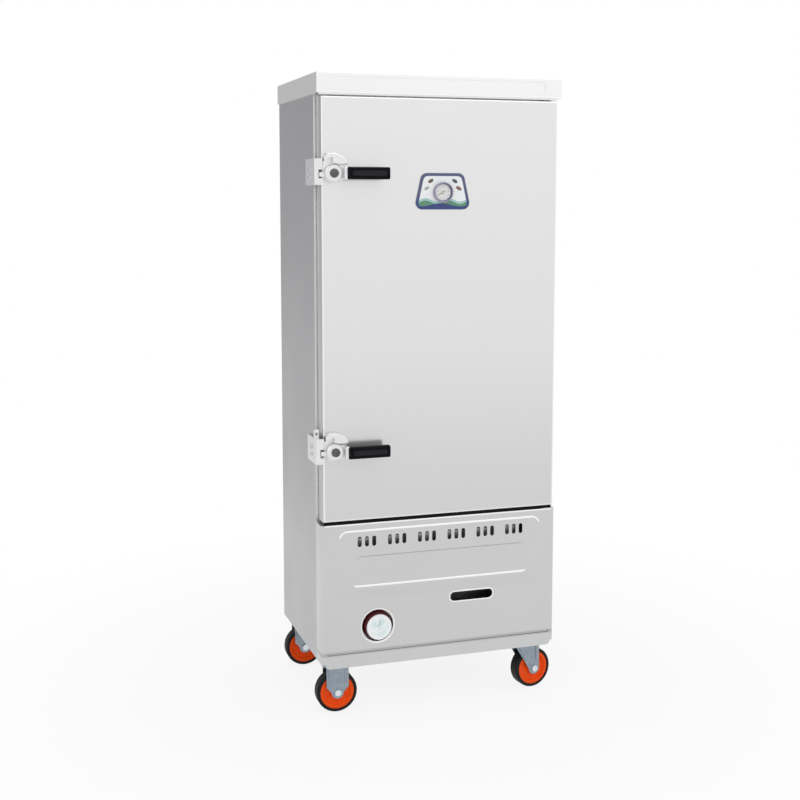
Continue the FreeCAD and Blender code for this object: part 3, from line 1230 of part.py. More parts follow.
def axle_bolt(foot_x):
    """The axle through a caster's legs, with a nut at each end."""
    reach = TYRE_WIDTH / 2 + LEG_GAP + LEG_THICKNESS
    axle = rod(AXLE_RADIUS, (foot_x, -reach - NUT_HEIGHT, WHEEL_RADIUS), (foot_x, reach + NUT_HEIGHT, WHEEL_RADIUS))
    pieces = [axle]
    for side in (-1, 1):
        corners = []
        for i in range(6):
            angle = math.radians(60 * i + 30)
            corners.append((foot_x + NUT_RADIUS * math.cos(angle), WHEEL_RADIUS + NUT_RADIUS * math.sin(angle)))
        y0, y1 = sorted((side * reach, side * (reach + NUT_HEIGHT)))
        pieces.append(outline_plate(corners, y0, y1))
    return fused(pieces)


def turned(profile, foot_x):
    """A ring turned about a wheel's axle from (radius, offset along the axle) points."""
    points = [V(foot_x, y, WHEEL_RADIUS + r) for r, y in profile]
    face = Part.Face(Part.makePolygon(points + points[:1]))
    return face.revolve(V(foot_x, 0, WHEEL_RADIUS), V(0, 1, 0), 360)


def wheel_core(foot_x):
    """The moulded wheel centre, with hub, web and rim."""
    hub, web, rim = TYRE_WIDTH / 2 + LEG_GAP - FIT, CORE_WEB_WIDTH / 2, CORE_WIDTH / 2
    bore = AXLE_RADIUS + RUNNING
    side = [(bore, hub), (HUB_RADIUS, hub), (HUB_RADIUS, web), (CORE_WEB_RADIUS, web),
            (CORE_WEB_RADIUS + CORE_RIM_SLOPE, rim), (CORE_RADIUS, rim)]
    return turned(side + [(r, -y) for r, y in reversed(side)], foot_x)


def tyre(foot_x):
    """The tyre bonded on the wheel centre, with rounded shoulders."""
    half, s = TYRE_WIDTH / 2, TYRE_SHOULDER
    ring = turned([(CORE_RADIUS, half), (WHEEL_RADIUS, half), (WHEEL_RADIUS, -half), (CORE_RADIUS, -half)], foot_x)
    shoulders = [e for e in ring.Edges if abs(e.Length - 2 * math.pi * WHEEL_RADIUS) < 0.1]
    return ring.makeFillet(s, shoulders)


def placed(shape, x, y, turn=0):
    """A caster piece set under the cabinet, turned about its own upright axis first."""
    moved = shape.copy()
    moved.rotate(V(0, 0, 0), V(0, 0, 1), turn)
    moved.translate(V(x, y, 0))
    return moved


def save_casters():
    """Write the fixed casters of the left side and the swivel casters of the right side."""
    bolts, brackets, tops = [], [], []
    for end, y in CASTER_YS.items():
        brackets.append(placed(rigid_bracket(), -CASTER_X, y))
        save("wheel_core_left_" + end, placed(wheel_core(0), -CASTER_X, y))
        save("tyre_left_" + end, placed(tyre(0), -CASTER_X, y))
        bolts.append(placed(axle_bolt(0), -CASTER_X, y))
        x = CASTER_X - TRAIL * math.cos(math.radians(SWIVEL_TURN))
        tops.append(placed(swivel_top(), x, y))
        save("caster_fork_right_" + end, placed(swivel_fork(), x, y, SWIVEL_TURN))
        save("caster_axle_right_" + end, placed(axle_bolt(TRAIL), x, y, SWIVEL_TURN))
        save("wheel_core_right_" + end, placed(wheel_core(TRAIL), x, y, SWIVEL_TURN))
        save("tyre_right_" + end, placed(tyre(TRAIL), x, y, SWIVEL_TURN))
    save("caster_axles_left", Part.makeCompound(bolts))
    save("caster_brackets_left", Part.makeCompound(brackets))
    save("caster_plates_right", Part.makeCompound(tops))


def main():
    """Write every node of the steamer."""
    os.makedirs("parts", exist_ok=True)
    save("side_panels", side_panels())
    save("back_panel", back_panel())
    save("top_cap", top_cap())
    save("front_frame", front_frame())
    save("base_frame", base_frame())
    save("chamber_liner", chamber_liner())
    save("insulation", insulation())
    save("tray_racks", racks())
    save("trays", trays())
    save("water_tank", water_tank())
    save("fire_tubes", fire_tubes())
    save("steam_grid", steam_grid())
    save("flue", flue())
    save("steam_vent", steam_vent())
    save("water_inlet", water_inlet())
    save("float_arm", float_arm())
    save("drain_pipe", drain_pipe())
    save("drain_handle", drain_handle())
    save("burner_shroud", burner_shroud())
    save("burners", burners())
    save("gas_manifold", gas_manifold())
    save("gas_valve", gas_valve())
    save("gas_pipe", gas_pipe())
    save("lower_panel", lower_panel())
    save("valve_stem", valve_stem())
    save("gas_knob", gas_knob())
    save("knob_cap", knob_cap())
    save("door_skin", door_skin())
    save("door_foam", door_foam())
    save("door_inner_skin", door_inner_skin())
    save("door_gasket", door_gasket())
    save("hinge_bushes", hinge_bushes())
    save("hinge_brackets", hinge_brackets())
    save("gauge_plate", gauge_plate())
    save("gauge_case", gauge_case())
    save("gauge_needle", gauge_needle())
    save("gauge_lens", gauge_lens())
    for name, z in zip(("upper", "lower"), LATCH_LEVELS):
        save("latch_lever_" + name, latch_lever(z))
        save("latch_grip_" + name, latch_grip(z))
    save("latch_housings", Part.makeCompound([latch_housing(z) for z in LATCH_LEVELS]))
    save("latch_bolts", latch_bolts())
    save("latch_strikes", Part.makeCompound(strike(LATCH_LEVELS[0], False) + strike(LATCH_LEVELS[1], True)))
    save("strike_screws", strike_screws())
    save_casters()


main()
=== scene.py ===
import json
import logging
import math
from dataclasses import dataclass, replace
from enum import Enum
from functools import partial
from typing import Callable

import bmesh
import bpy
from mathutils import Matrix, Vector

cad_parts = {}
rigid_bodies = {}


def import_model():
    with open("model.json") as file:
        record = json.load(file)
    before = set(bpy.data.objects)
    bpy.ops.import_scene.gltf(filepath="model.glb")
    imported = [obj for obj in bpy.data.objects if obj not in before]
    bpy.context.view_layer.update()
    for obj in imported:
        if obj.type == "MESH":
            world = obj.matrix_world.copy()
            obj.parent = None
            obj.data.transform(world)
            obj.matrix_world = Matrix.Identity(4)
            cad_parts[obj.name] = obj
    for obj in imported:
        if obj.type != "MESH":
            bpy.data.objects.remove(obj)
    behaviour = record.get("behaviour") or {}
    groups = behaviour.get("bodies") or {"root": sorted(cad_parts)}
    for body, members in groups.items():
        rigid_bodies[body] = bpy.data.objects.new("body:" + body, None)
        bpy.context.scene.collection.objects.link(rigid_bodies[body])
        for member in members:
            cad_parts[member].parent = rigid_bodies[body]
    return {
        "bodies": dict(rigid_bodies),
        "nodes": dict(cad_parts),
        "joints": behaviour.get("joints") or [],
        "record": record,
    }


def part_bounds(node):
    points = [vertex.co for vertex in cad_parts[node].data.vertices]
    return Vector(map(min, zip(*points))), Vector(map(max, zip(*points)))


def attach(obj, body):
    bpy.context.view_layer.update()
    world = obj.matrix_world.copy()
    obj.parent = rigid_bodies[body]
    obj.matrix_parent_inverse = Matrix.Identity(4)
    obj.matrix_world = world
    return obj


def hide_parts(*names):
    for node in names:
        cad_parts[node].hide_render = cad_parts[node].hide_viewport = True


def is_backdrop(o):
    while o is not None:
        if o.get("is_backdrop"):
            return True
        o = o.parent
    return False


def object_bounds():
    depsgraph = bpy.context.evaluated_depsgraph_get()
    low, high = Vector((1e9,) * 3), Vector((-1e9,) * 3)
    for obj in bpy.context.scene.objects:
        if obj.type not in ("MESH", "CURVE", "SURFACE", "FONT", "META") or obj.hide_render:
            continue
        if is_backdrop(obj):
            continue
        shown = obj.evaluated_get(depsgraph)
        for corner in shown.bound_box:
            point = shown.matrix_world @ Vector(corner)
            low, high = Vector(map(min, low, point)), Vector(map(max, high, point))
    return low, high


# Looks of a gas rice steamer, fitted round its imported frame
# Lengths and places are in the part's millimetres, with Y = 0 on the door's face, unless a line says metres
# at() puts a place in the frame, which is in metres

LOG = logging.getLogger("steamer")
MM = 0.001
DOOR_FACE = -0.2025
SMOOTH_BELOW = 35.0
SHARP_ABOVE = 40.0
Colour = tuple[float, float, float]
Point = tuple[float, float, float]
Span = tuple[float, float]
Profile = tuple[Span, ...]
Piece = bpy.types.Object
Node = bpy.types.Node
Socket = bpy.types.NodeSocket
Sockets = dict[str, Socket]
Test = Callable[[Vector, Vector], bool]


class Axis(Enum):
    """The axis that a round piece is turned about."""

    X = 0
    Y = 1
    Z = 2

    def arrow(self) -> Vector:
        """The axis as a unit vector."""
        return Vector([1.0 if i == self.value else 0.0 for i in range(3)])

    def tilt(self) -> Point:
        """The turn that lays an upright primitive along this axis."""
        return ((0.0, math.pi / 2, 0.0), (math.pi / 2, 0.0, 0.0), (0.0, 0.0, 0.0))[self.value]


def at(point: Point) -> Vector:
    """A point given in the part's millimetres, in the frame's metres."""
    return Vector((point[0] * MM, point[1] * MM + DOOR_FACE, point[2] * MM))


def part_box(node: str) -> list[Point]:
    """A CAD node's lowest and highest corners, in the part's millimetres."""
    return [(corner.x / MM, (corner.y - DOOR_FACE) / MM, corner.z / MM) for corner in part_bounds(node)]


def lies_at(axis: Axis, place: float, slack: float = 0.1) -> Test:
    """A test for what lies at one place along an axis."""
    goal = at((place, place, place))[axis.value]
    return lambda middle, way: abs(middle[axis.value] - goal) < slack * MM


def runs_along(axis: Axis, length: float) -> Test:
    """A test for edges that run at least so far along an axis."""
    return lambda middle, way: abs(way[axis.value]) > length * MM


# Tools of the bench

class Bench:
    """The modelling tools: each mesh starts from a primitive and is shaped in edit mode."""

    @staticmethod
    def clear() -> None:
        """Leaves edit mode and deselects everything."""
        if bpy.context.object is not None and bpy.context.object.mode != "OBJECT":
            bpy.ops.object.mode_set(mode="OBJECT")
        bpy.ops.object.select_all(action="DESELECT")

    @staticmethod
    def take(*pieces: Piece) -> None:
        """Selects pieces, the first one active.

        Args:
            pieces: the pieces.
        """
        Bench.clear()
        for piece in pieces:
            piece.select_set(True)
        bpy.context.view_layer.objects.active = pieces[0]

    @staticmethod
    def apply() -> None:
        """Puts the place, turn and size of what is selected into its mesh."""
        bpy.ops.object.transform_apply(location=True, rotation=True, scale=True)

    @staticmethod
    def settle(name: str) -> Piece:
        """Names the active piece and puts its place into its mesh.

        Args:
            name: the piece's name.

        Returns:
            The piece, with its object at the origin.
        """
        piece = bpy.context.object
        piece.name = name
        piece.data.name = name
        Bench.take(piece)
        Bench.apply()
        return piece

    @staticmethod
    def block(name: str, low: Point, high: Point, soft: float = 0.0, segments: int = 2) -> Piece:
        """Adds a cube stretched between two corners.

        Args:
            name: the piece's name.
            low: its lowest corner.
            high: its highest corner.
            soft: the width of the bevel along all its edges, or 0 for none.
            segments: how many faces that bevel has across.

        Returns:
            The piece, in object mode.
        """
        Bench.clear()
        first, last = at(low), at(high)
        bpy.ops.mesh.primitive_cube_add(size=1, location=(first + last) / 2)
        bpy.context.object.scale = last - first
        piece = Bench.settle(name)
        if soft:
            Bench.soften(piece, soft, segments)
        return piece

    @staticmethod
    def drum(name: str, centre: Point, radius: float, length: float, axis: Axis, sides: int) -> Piece:
        """Adds a round or many-sided bar about its centre.

        Args:
            name: the piece's name.
            centre: its middle.
            radius: to its corners.
            length: along its axis.
            axis: the way it lies.
            sides: how many faces it has round it.

        Returns:
            The piece, in object mode.
        """
        Bench.clear()
        bpy.ops.mesh.primitive_cylinder_add(vertices=sides, radius=radius * MM, depth=length * MM,
                                            location=at(centre), rotation=axis.tilt())
        return Bench.settle(name)

    @staticmethod
    def pick(piece: Piece, kind: str, test: Test) -> int:
        """Selects faces, edges or vertices by their middle and direction, in edit mode.

        Args:
            piece: the piece being shaped.
            kind: "faces", "edges" or "verts".
            test: takes the middle in metres, and a face's or vertex's normal or an edge's run.

        Returns:
            How many were selected.
        """
        if bpy.context.object is not piece or piece.mode != "EDIT":
            Bench.take(piece)
            bpy.ops.object.mode_set(mode="EDIT")
        bpy.ops.mesh.select_mode(type={"faces": "FACE", "edges": "EDGE", "verts": "VERT"}[kind])
        bpy.ops.mesh.select_all(action="DESELECT")
        mesh = bmesh.from_edit_mesh(piece.data)
        found = 0
        for element in getattr(mesh, kind):
            if kind == "faces":
                wanted = test(element.calc_center_median(), element.normal)
            elif kind == "edges":
                first, last = (corner.co for corner in element.verts)
                wanted = test((first + last) / 2, last - first)
            else:
                wanted = test(element.co, element.normal)
            element.select_set(wanted)
            found += wanted
        mesh.select_flush_mode()
        bmesh.update_edit_mesh(piece.data)
        return found

    @staticmethod
    def round_off(piece: Piece, offset: float, segments: int, test: Test) -> None:
        """Bevels the edges that pass a test.

        Args:
            piece: the piece being shaped.
            offset: the bevel's width.
            segments: how many faces it has across.
            test: takes an edge's middle and run, in metres.
        """
        if Bench.pick(piece, "edges", test):
            bpy.ops.mesh.bevel(offset=offset * MM, segments=segments, affect="EDGES")
        bpy.ops.object.mode_set(mode="OBJECT")

    @staticmethod
    def soften(piece: Piece, width: float, segments: int = 2, angle: float = SHARP_ABOVE) -> None:
        """Applies a bevel modifier to the sharp edges of a piece.

        Args:
            piece: the piece.
            width: the bevel's width.
            segments: how many faces it has across.
            angle: edges sharper than this are bevelled, in degrees.
        """
        Bench.take(piece)
        bevel = piece.modifiers.new("soft_edges", "BEVEL")
        bevel.width = width * MM
        bevel.segments = segments
        bevel.limit_method = "ANGLE"
        bevel.angle_limit = math.radians(angle)
        bpy.ops.object.modifier_apply(modifier=bevel.name)

    @staticmethod
    def carve(piece: Piece, *cutters: Piece) -> None:
        """Takes the shapes of other pieces out of one, and removes them.

        Args:
            piece: the piece that keeps its name.
            cutters: the shapes, which are deleted.
        """
        for cutter in cutters:
            Bench.take(piece)
            cut = piece.modifiers.new("cut", "BOOLEAN")
            cut.operation = "DIFFERENCE"
            cut.solver = "EXACT"
            cut.object = cutter
            bpy.ops.object.modifier_apply(modifier=cut.name)
            bpy.data.objects.remove(cutter)

    @staticmethod
    def lathe(name: str, x: float, z: float, profile: Profile, steps: int = 48) -> Piece:
        """Turns a closed profile about an axis that runs from front to back.

        Args:
            name: the piece's name.
            x: the axis's place across.
            z: the axis's height.
            profile: points of (radius, place along the axis), in order round the section.
            steps: how many faces it has round it.

        Returns:
            The piece, in object mode.
        """
        points = [Vector((x, along, z + radius)) for radius, along in (*profile, profile[0])]
        Bench.clear()
        bpy.ops.mesh.primitive_plane_add(size=MM, location=at(points[0]))
        piece = Bench.settle(name)
        bpy.ops.object.mode_set(mode="EDIT")
        bpy.ops.mesh.select_mode(type="VERT")
        bpy.ops.mesh.select_all(action="SELECT")
        bpy.ops.mesh.merge(type="CENTER")
        for last, point in zip(points, points[1:]):
            bpy.ops.mesh.extrude_vertices_move(TRANSFORM_OT_translate={"value": (point - last) * MM})
        bpy.ops.mesh.select_all(action="SELECT")
        bpy.ops.mesh.spin(steps=steps, angle=math.tau, center=at((x, 0.0, z)), axis=Axis.Y.arrow())
        bpy.ops.mesh.select_all(action="SELECT")
        bpy.ops.mesh.remove_doubles(threshold=0.02 * MM)
        bpy.ops.mesh.normals_make_consistent(inside=False)
        bpy.ops.object.mode_set(mode="OBJECT")
        return piece

    @staticmethod
    def ring(name: str, u: Span, v: Span, w: Span, axis: Axis, width: float, corner: float,
             bead: float) -> Piece:
        """Makes a flat ring with rounded corners and a soft front.

        Args:
            name: the piece's name.
            u: its outside across.
            v: its outside along the other side of its plane.
            w: where it starts and ends along the axis.
            axis: the axis that it is square to, Y or Z.
            width: the width of its band.
            corner: its outside corner radius.
            bead: the radius of its front edges.

        Returns:
            The piece, in object mode.
        """
        middle = [(u[0] + u[1]) / 2, (v[0] + v[1]) / 2, (v[0] + v[1]) / 2]
        middle[axis.value] = w[0]
        Bench.clear()
        bpy.ops.mesh.primitive_plane_add(size=1, location=at(tuple(middle)), rotation=axis.tilt())
        bpy.context.object.scale = ((u[1] - u[0]) * MM, (v[1] - v[0]) * MM, 1)
        piece = Bench.settle(name)
        Bench.pick(piece, "verts", lambda place, way: True)
        bpy.ops.mesh.bevel(offset=corner * MM, segments=8, affect="VERTICES")
        bpy.ops.mesh.select_mode(type="FACE")
        bpy.ops.mesh.select_all(action="SELECT")
        bpy.ops.mesh.inset(thickness=width * MM, depth=0)
        bpy.ops.mesh.delete(type="FACE")
        bpy.ops.mesh.select_all(action="SELECT")
        rise = axis.arrow() * (w[1] - w[0]) * MM
        bpy.ops.mesh.extrude_region_move(TRANSFORM_OT_translate={"value": rise})
        bpy.ops.mesh.select_all(action="SELECT")
        bpy.ops.mesh.normals_make_consistent(inside=False)
        Bench.pick(piece, "faces", lies_at(axis, w[1], 0.01))
        bpy.ops.mesh.region_to_loop()
        bpy.ops.mesh.bevel(offset=bead * MM, segments=4, affect="EDGES")
        bpy.ops.object.mode_set(mode="OBJECT")
        return piece

    @staticmethod
    def repeat(piece: Piece, changes: list[Callable[[], object]]) -> None:
        """Copies a piece once for each change, each copy with its own mesh, and joins them.

        Args:
            piece: the piece, which stays where it is as the first of them.
            changes: what moves or turns each copy.
        """
        made = [piece]
        for change in changes:
            Bench.take(piece)
            bpy.ops.object.duplicate(linked=False)
            change()
            Bench.apply()
            made.append(bpy.context.object)
        Bench.take(*made)
        bpy.ops.object.join()

    @staticmethod
    def copies(piece: Piece, moves: list[Point]) -> None:
        """Copies a piece to each move from it, and joins the copies to it."""
        Bench.repeat(piece, [partial(bpy.ops.transform.translate, value=Vector(move) * MM) for move in moves])

    @staticmethod
    def around(piece: Piece, centre: Point, axis: Axis, angles: list[float]) -> None:
        """Copies a piece round an axis, to each angle in radians, and joins the copies to it."""
        turn = partial(bpy.ops.transform.rotate, orient_axis=axis.name, center_override=at(centre))
        Bench.repeat(piece, [partial(turn, value=angle) for angle in angles])

    @staticmethod
    def turn(piece: Piece, centre: Point, axis: Axis, angle: float) -> None:
        """Turns a piece about an axis.

        Args:
            piece: the piece.
            centre: a point on the axis.
            axis: the axis.
            angle: how far it turns, in radians.
        """
        Bench.take(piece)
        bpy.ops.transform.rotate(value=angle, orient_axis=axis.name, center_override=at(centre))
        Bench.apply()

    @staticmethod
    def words(name: str, text: str, centre: Point, size: float, thickness: float) -> Piece:
        """Makes a number as a thin mesh that faces the front.

        Args:
            name: the piece's name.
            text: the number.
            centre: its middle.
            size: its height.
            thickness: how far it stands towards the front.

        Returns:
            The piece, in object mode.
        """
        Bench.clear()
        bpy.ops.object.text_add(location=(0, 0, 0))
        label = bpy.context.object
        label.data.body = text
        label.data.size = size * MM
        label.data.align_x = "CENTER"
        label.data.align_y = "CENTER"
        label.data.extrude = thickness * MM / 2
        label.data.resolution_u = 3
        bpy.ops.object.convert(target="MESH")
        label = bpy.context.object
        label.rotation_euler = Axis.Y.tilt()
        label.location = at(centre)
        return Bench.settle(name)


# Node graphs

class Graph:
    """A node tree, with short ways to add nodes and join them."""

    def __init__(self, tree: bpy.types.NodeTree) -> None:
        """Keeps the tree that nodes are added to."""
        self.tree = tree

    def add(self, kind: str, inputs: dict[str | int, object] | None = None, **settings: object) -> Node:
        """Adds a node.

        Args:
            kind: the node's type name, without its ShaderNode part.
            inputs: numbers or sockets for its inputs, by name or number.
            settings: the node's own settings.

        Returns:
            The node.
        """
        node = self.tree.nodes.new("ShaderNode" + kind)
        for name, value in settings.items():
            setattr(node, name, value)
        self.join(node, inputs or {})
        return node

    def join(self, node: Node, inputs: dict[str | int, object]) -> None:
        """Joins a node's inputs to sockets, or sets them to numbers or colours.

        Args:
            node: the node.
            inputs: what each input gets, by its name or number.
        """
        for name, value in inputs.items():
            socket = node.inputs[name]
            if isinstance(value, Socket):
                self.tree.links.new(value, socket)
            elif socket.type == "RGBA" and len(value) == 3:
                socket.default_value = (*value, 1.0)
            else:
                socket.default_value = value

    def math(self, operation: str, *values: object, clamp: bool = False) -> Socket:
        """The result of a Math node."""
        return self.add("Math", dict(enumerate(values)), operation=operation, use_clamp=clamp).outputs[0]

    def times(self, first: object, second: object) -> Socket:
        """The product of two values."""
        return self.math("MULTIPLY", first, second)

    def less(self, first: object, second: object) -> Socket:
        """The first value less the second."""
        return self.math("SUBTRACT", first, second)

    def weigh(self, start: object, *terms: tuple[Socket, object]) -> Socket:
        """Adds up values by their shares.

        Args:
            start: the number that the sum starts from.
            terms: each value with its share.

        Returns:
            The sum.
        """
        for value, share in terms:
            start = self.math("MULTIPLY_ADD", value, share, start)
        return start

    def vector(self, operation: str, first: object, second: object) -> Socket:
        """The result of a Vector Math node on two vectors."""
        return self.add("VectorMath", {0: first, 1: second}, operation=operation).outputs[0]

    def length(self, vector: object) -> Socket:
        """The length of a vector."""
        return self.add("VectorMath", {0: vector}, operation="LENGTH").outputs["Value"]

    def parts(self, vector: object) -> list[Socket]:
        """A vector's three parts."""
        return list(self.add("SeparateXYZ", {0: vector}).outputs)

    def spread(self, value: object, low: float, high: float, start: float = 0.0, end: float = 1.0) -> Socket:
        """A value mapped from one range to another, held at its ends."""
        ends = {"Value": value, "From Min": low, "From Max": high, "To Min": start, "To Max": end}
        return self.add("MapRange", ends, interpolation_type="SMOOTHSTEP").outputs[0]

    def noise(self, vector: object, scale: float, detail: float = 3.0, roughness: float = 0.55) -> Socket:
        """The value of a Noise texture."""
        inputs = {"Vector": vector, "Scale": scale, "Detail": detail, "Roughness": roughness}
        return self.add("TexNoise", inputs).outputs[0]

    def blend(self, factor: object, first: object, second: object) -> Socket:
        """Mixes two colours.

        Args:
            factor: the share of the second.
            first: the first colour.
            second: the second colour.

        Returns:
            The mixed colour.
        """
        node = self.add("Mix", None, data_type="RGBA")
        self.join(node, {0: factor, 6: first, 7: second})
        return node.outputs[2]

    def place(self) -> Socket:
        """The Object coordinates of the surface."""
        return self.add("TexCoord").outputs["Object"]

    def reach(self, place: Socket, centre: Point, scale: float) -> Socket:
        """How far a place is from a centre, seen from the front and scaled."""
        away = self.vector("SUBTRACT", place, at(centre))
        return self.length(self.vector("MULTIPLY", away, (scale, 0.0, scale)))

    def bump(self, height: Socket) -> Socket:
        """The normal that a height in metres gives."""
        return self.add("Bump", {"Height": height, "Strength": 1.0, "Distance": 1.0}).outputs[0]

    def effect(self, effect: "Effect", place: Socket, **inputs: object) -> Sockets:
        """Places an effect's group.

        Args:
            effect: the effect.
            place: the place on the surface.
            inputs: the group's other values.

        Returns:
            The group's outputs.
        """
        node = self.add("Group", None, node_tree=effect.tree())
        self.join(node, {"Place": place, **inputs})
        return node.outputs

    def mask(self, effect: "Effect", place: Socket, **inputs: object) -> Socket:
        """Places an effect's group, and returns its mask."""
        return self.effect(effect, place, **inputs)["Mask"]


@dataclass(frozen=True)
class Effect:
    """An effect that several finishes share, as a node group with named sockets."""

    name: str
    inputs: tuple[tuple[str, str], ...]
    outputs: tuple[str, ...]
    build: Callable[[Graph, Sockets], Sockets]

    def tree(self) -> bpy.types.NodeTree:
        """Builds the group the first time.

        Returns:
            The group.
        """
        found = bpy.data.node_groups.get(self.name)
        if found:
            return found
        tree = bpy.data.node_groups.new(self.name, "ShaderNodeTree")
        for name, kind in (("Place", "Vector"), *self.inputs):
            tree.interface.new_socket(name, in_out="INPUT", socket_type="NodeSocket" + kind)
        for name in self.outputs:
            tree.interface.new_socket(name, in_out="OUTPUT", socket_type="NodeSocketFloat")
        given = tree.nodes.new("NodeGroupInput").outputs
        end = tree.nodes.new("NodeGroupOutput")
        for name, socket in self.build(Graph(tree), given).items():
            tree.links.new(socket, end.inputs[name])
        return tree


def brushed_lines(graph: Graph, given: Sockets) -> Sockets:
    """Fine lines along one direction, as a brush or a rolling mill leaves them.

    Args:
        graph: the group's nodes.
        given: the group's inputs.

    Returns:
        The lines and their height.
    """
    drawn = graph.vector("MULTIPLY", given["Place"], given["Stretch"])
    coarse = graph.noise(drawn, 1.0, 4.0, 0.65)
    fine = graph.noise(graph.vector("MULTIPLY", drawn, (3.1, 3.1, 3.1)), 1.0, 2.0)
    lines = graph.weigh(0.0, (coarse, 0.65), (fine, 0.35))
    return {"Lines": graph.spread(lines, 0.3, 0.7), "Height": graph.times(lines, given["Relief"])}


def handled_patches(graph: Graph, given: Sockets) -> Sockets:
    """Broad soft patches, where a surface was wiped or touched.

    Args:
        graph: the group's nodes.
        given: the group's inputs.

    Returns:
        The patches.
    """
    broad = graph.noise(given["Place"], 5.5, 2.0)
    near = graph.noise(given["Place"], 38.0, 3.0, 0.6)
    both = graph.weigh(0.0, (broad, 0.7), (near, 0.3))
    return {"Mask": graph.times(graph.spread(both, 0.38, 0.66), given["Amount"])}


def box_edges(graph: Graph, given: Sockets) -> Sockets:
    """A band along the edges of a box, where corners are polished by hands and cloths, and which the sheet
    finishes also use as a painted highlight.

    Args:
        graph: the group's nodes.
        given: the group's inputs.

    Returns:
        The band.
    """
    above = graph.vector("SUBTRACT", given["Place"], given["Low"])
    below = graph.vector("SUBTRACT", given["High"], given["Place"])
    x, y, z = graph.parts(graph.vector("MINIMUM", above, below))
    inner = graph.math("MINIMUM", graph.math("MAXIMUM", x, y), z)
    middle = graph.math("MAXIMUM", graph.math("MINIMUM", x, y), inner)
    uneven = graph.weigh(0.0004, (graph.noise(given["Place"], 60.0, 2.0), given["Width"]))
    band = graph.math("SUBTRACT", 1.0, graph.math("DIVIDE", middle, uneven), clamp=True)
    return {"Mask": graph.times(band, given["Amount"])}


def settled_dust(graph: Graph, given: Sockets) -> Sockets:
    """A thin film on what faces up.

    Args:
        graph: the group's nodes.
        given: the group's inputs.

    Returns:
        The film.
    """
    up = graph.parts(graph.add("NewGeometry").outputs["Normal"])[2]
    patchy = graph.spread(graph.noise(given["Place"], 24.0, 4.0, 0.65), 0.25, 0.75)
    return {"Mask": graph.times(graph.times(graph.spread(up, 0.55, 1.0), patchy), given["Amount"])}


def fine_grain(graph: Graph, given: Sockets) -> Sockets:
    """A fine all-over grain, as on castings, moulded plastic and rubber.

    Args:
        graph: the group's nodes.
        given: the group's inputs.

    Returns:
        The grain and its height.
    """
    sized = {0: given["Place"], "Scale": given["Scale"]}
    scaled = graph.add("VectorMath", sized, operation="SCALE").outputs[0]
    cells = graph.add("TexVoronoi", {"Vector": scaled, "Scale": 1.0}).outputs["Distance"]
    both = graph.weigh(0.0, (cells, 0.5), (graph.noise(scaled, 0.45, 3.0), 0.5))
    return {"Mask": graph.spread(both, 0.3, 0.75), "Height": graph.times(both, given["Relief"])}


LINES = Effect("brushed_lines", (("Stretch", "Vector"), ("Relief", "Float")), ("Lines", "Height"),
               brushed_lines)
PATCHES = Effect("handled_patches", (("Amount", "Float"),), ("Mask",), handled_patches)
EDGES = Effect("box_edges", (("Low", "Vector"), ("High", "Vector"), ("Width", "Float"), ("Amount", "Float")),
               ("Mask",), box_edges)
DUST = Effect("settled_dust", (("Amount", "Float"),), ("Mask",), settled_dust)
GRAIN = Effect("fine_grain", (("Scale", "Float"), ("Relief", "Float")), ("Mask", "Height"), fine_grain)


# Finishes

@dataclass(frozen=True)
class Finish:
    """What every finish has: its name, its colour and how rough it is."""

    name: str
    colour: Colour
    rough: float

    def material(self) -> bpy.types.Material:
        """Builds the material the first time.

        Returns:
            The material.
        """
        found = bpy.data.materials.get(self.name)
        if found:
            return found
        made = bpy.data.materials.new(self.name)
        made.use_nodes = True
        made.diffuse_color = (*self.colour, 1.0)
        graph = Graph(made.node_tree)
        graph.join(made.node_tree.nodes["Principled BSDF"], self.paint(graph, graph.place()))
        return made

    def paint(self, graph: Graph, place: Socket) -> dict[str, object]:
        """Makes the finish's own pattern, and returns what each of the shader's inputs gets."""
        raise NotImplementedError

    def worn(self, share: float) -> Colour:
        """The finish's colour, scaled."""
        return tuple(min(1.0, part * share) for part in self.colour)


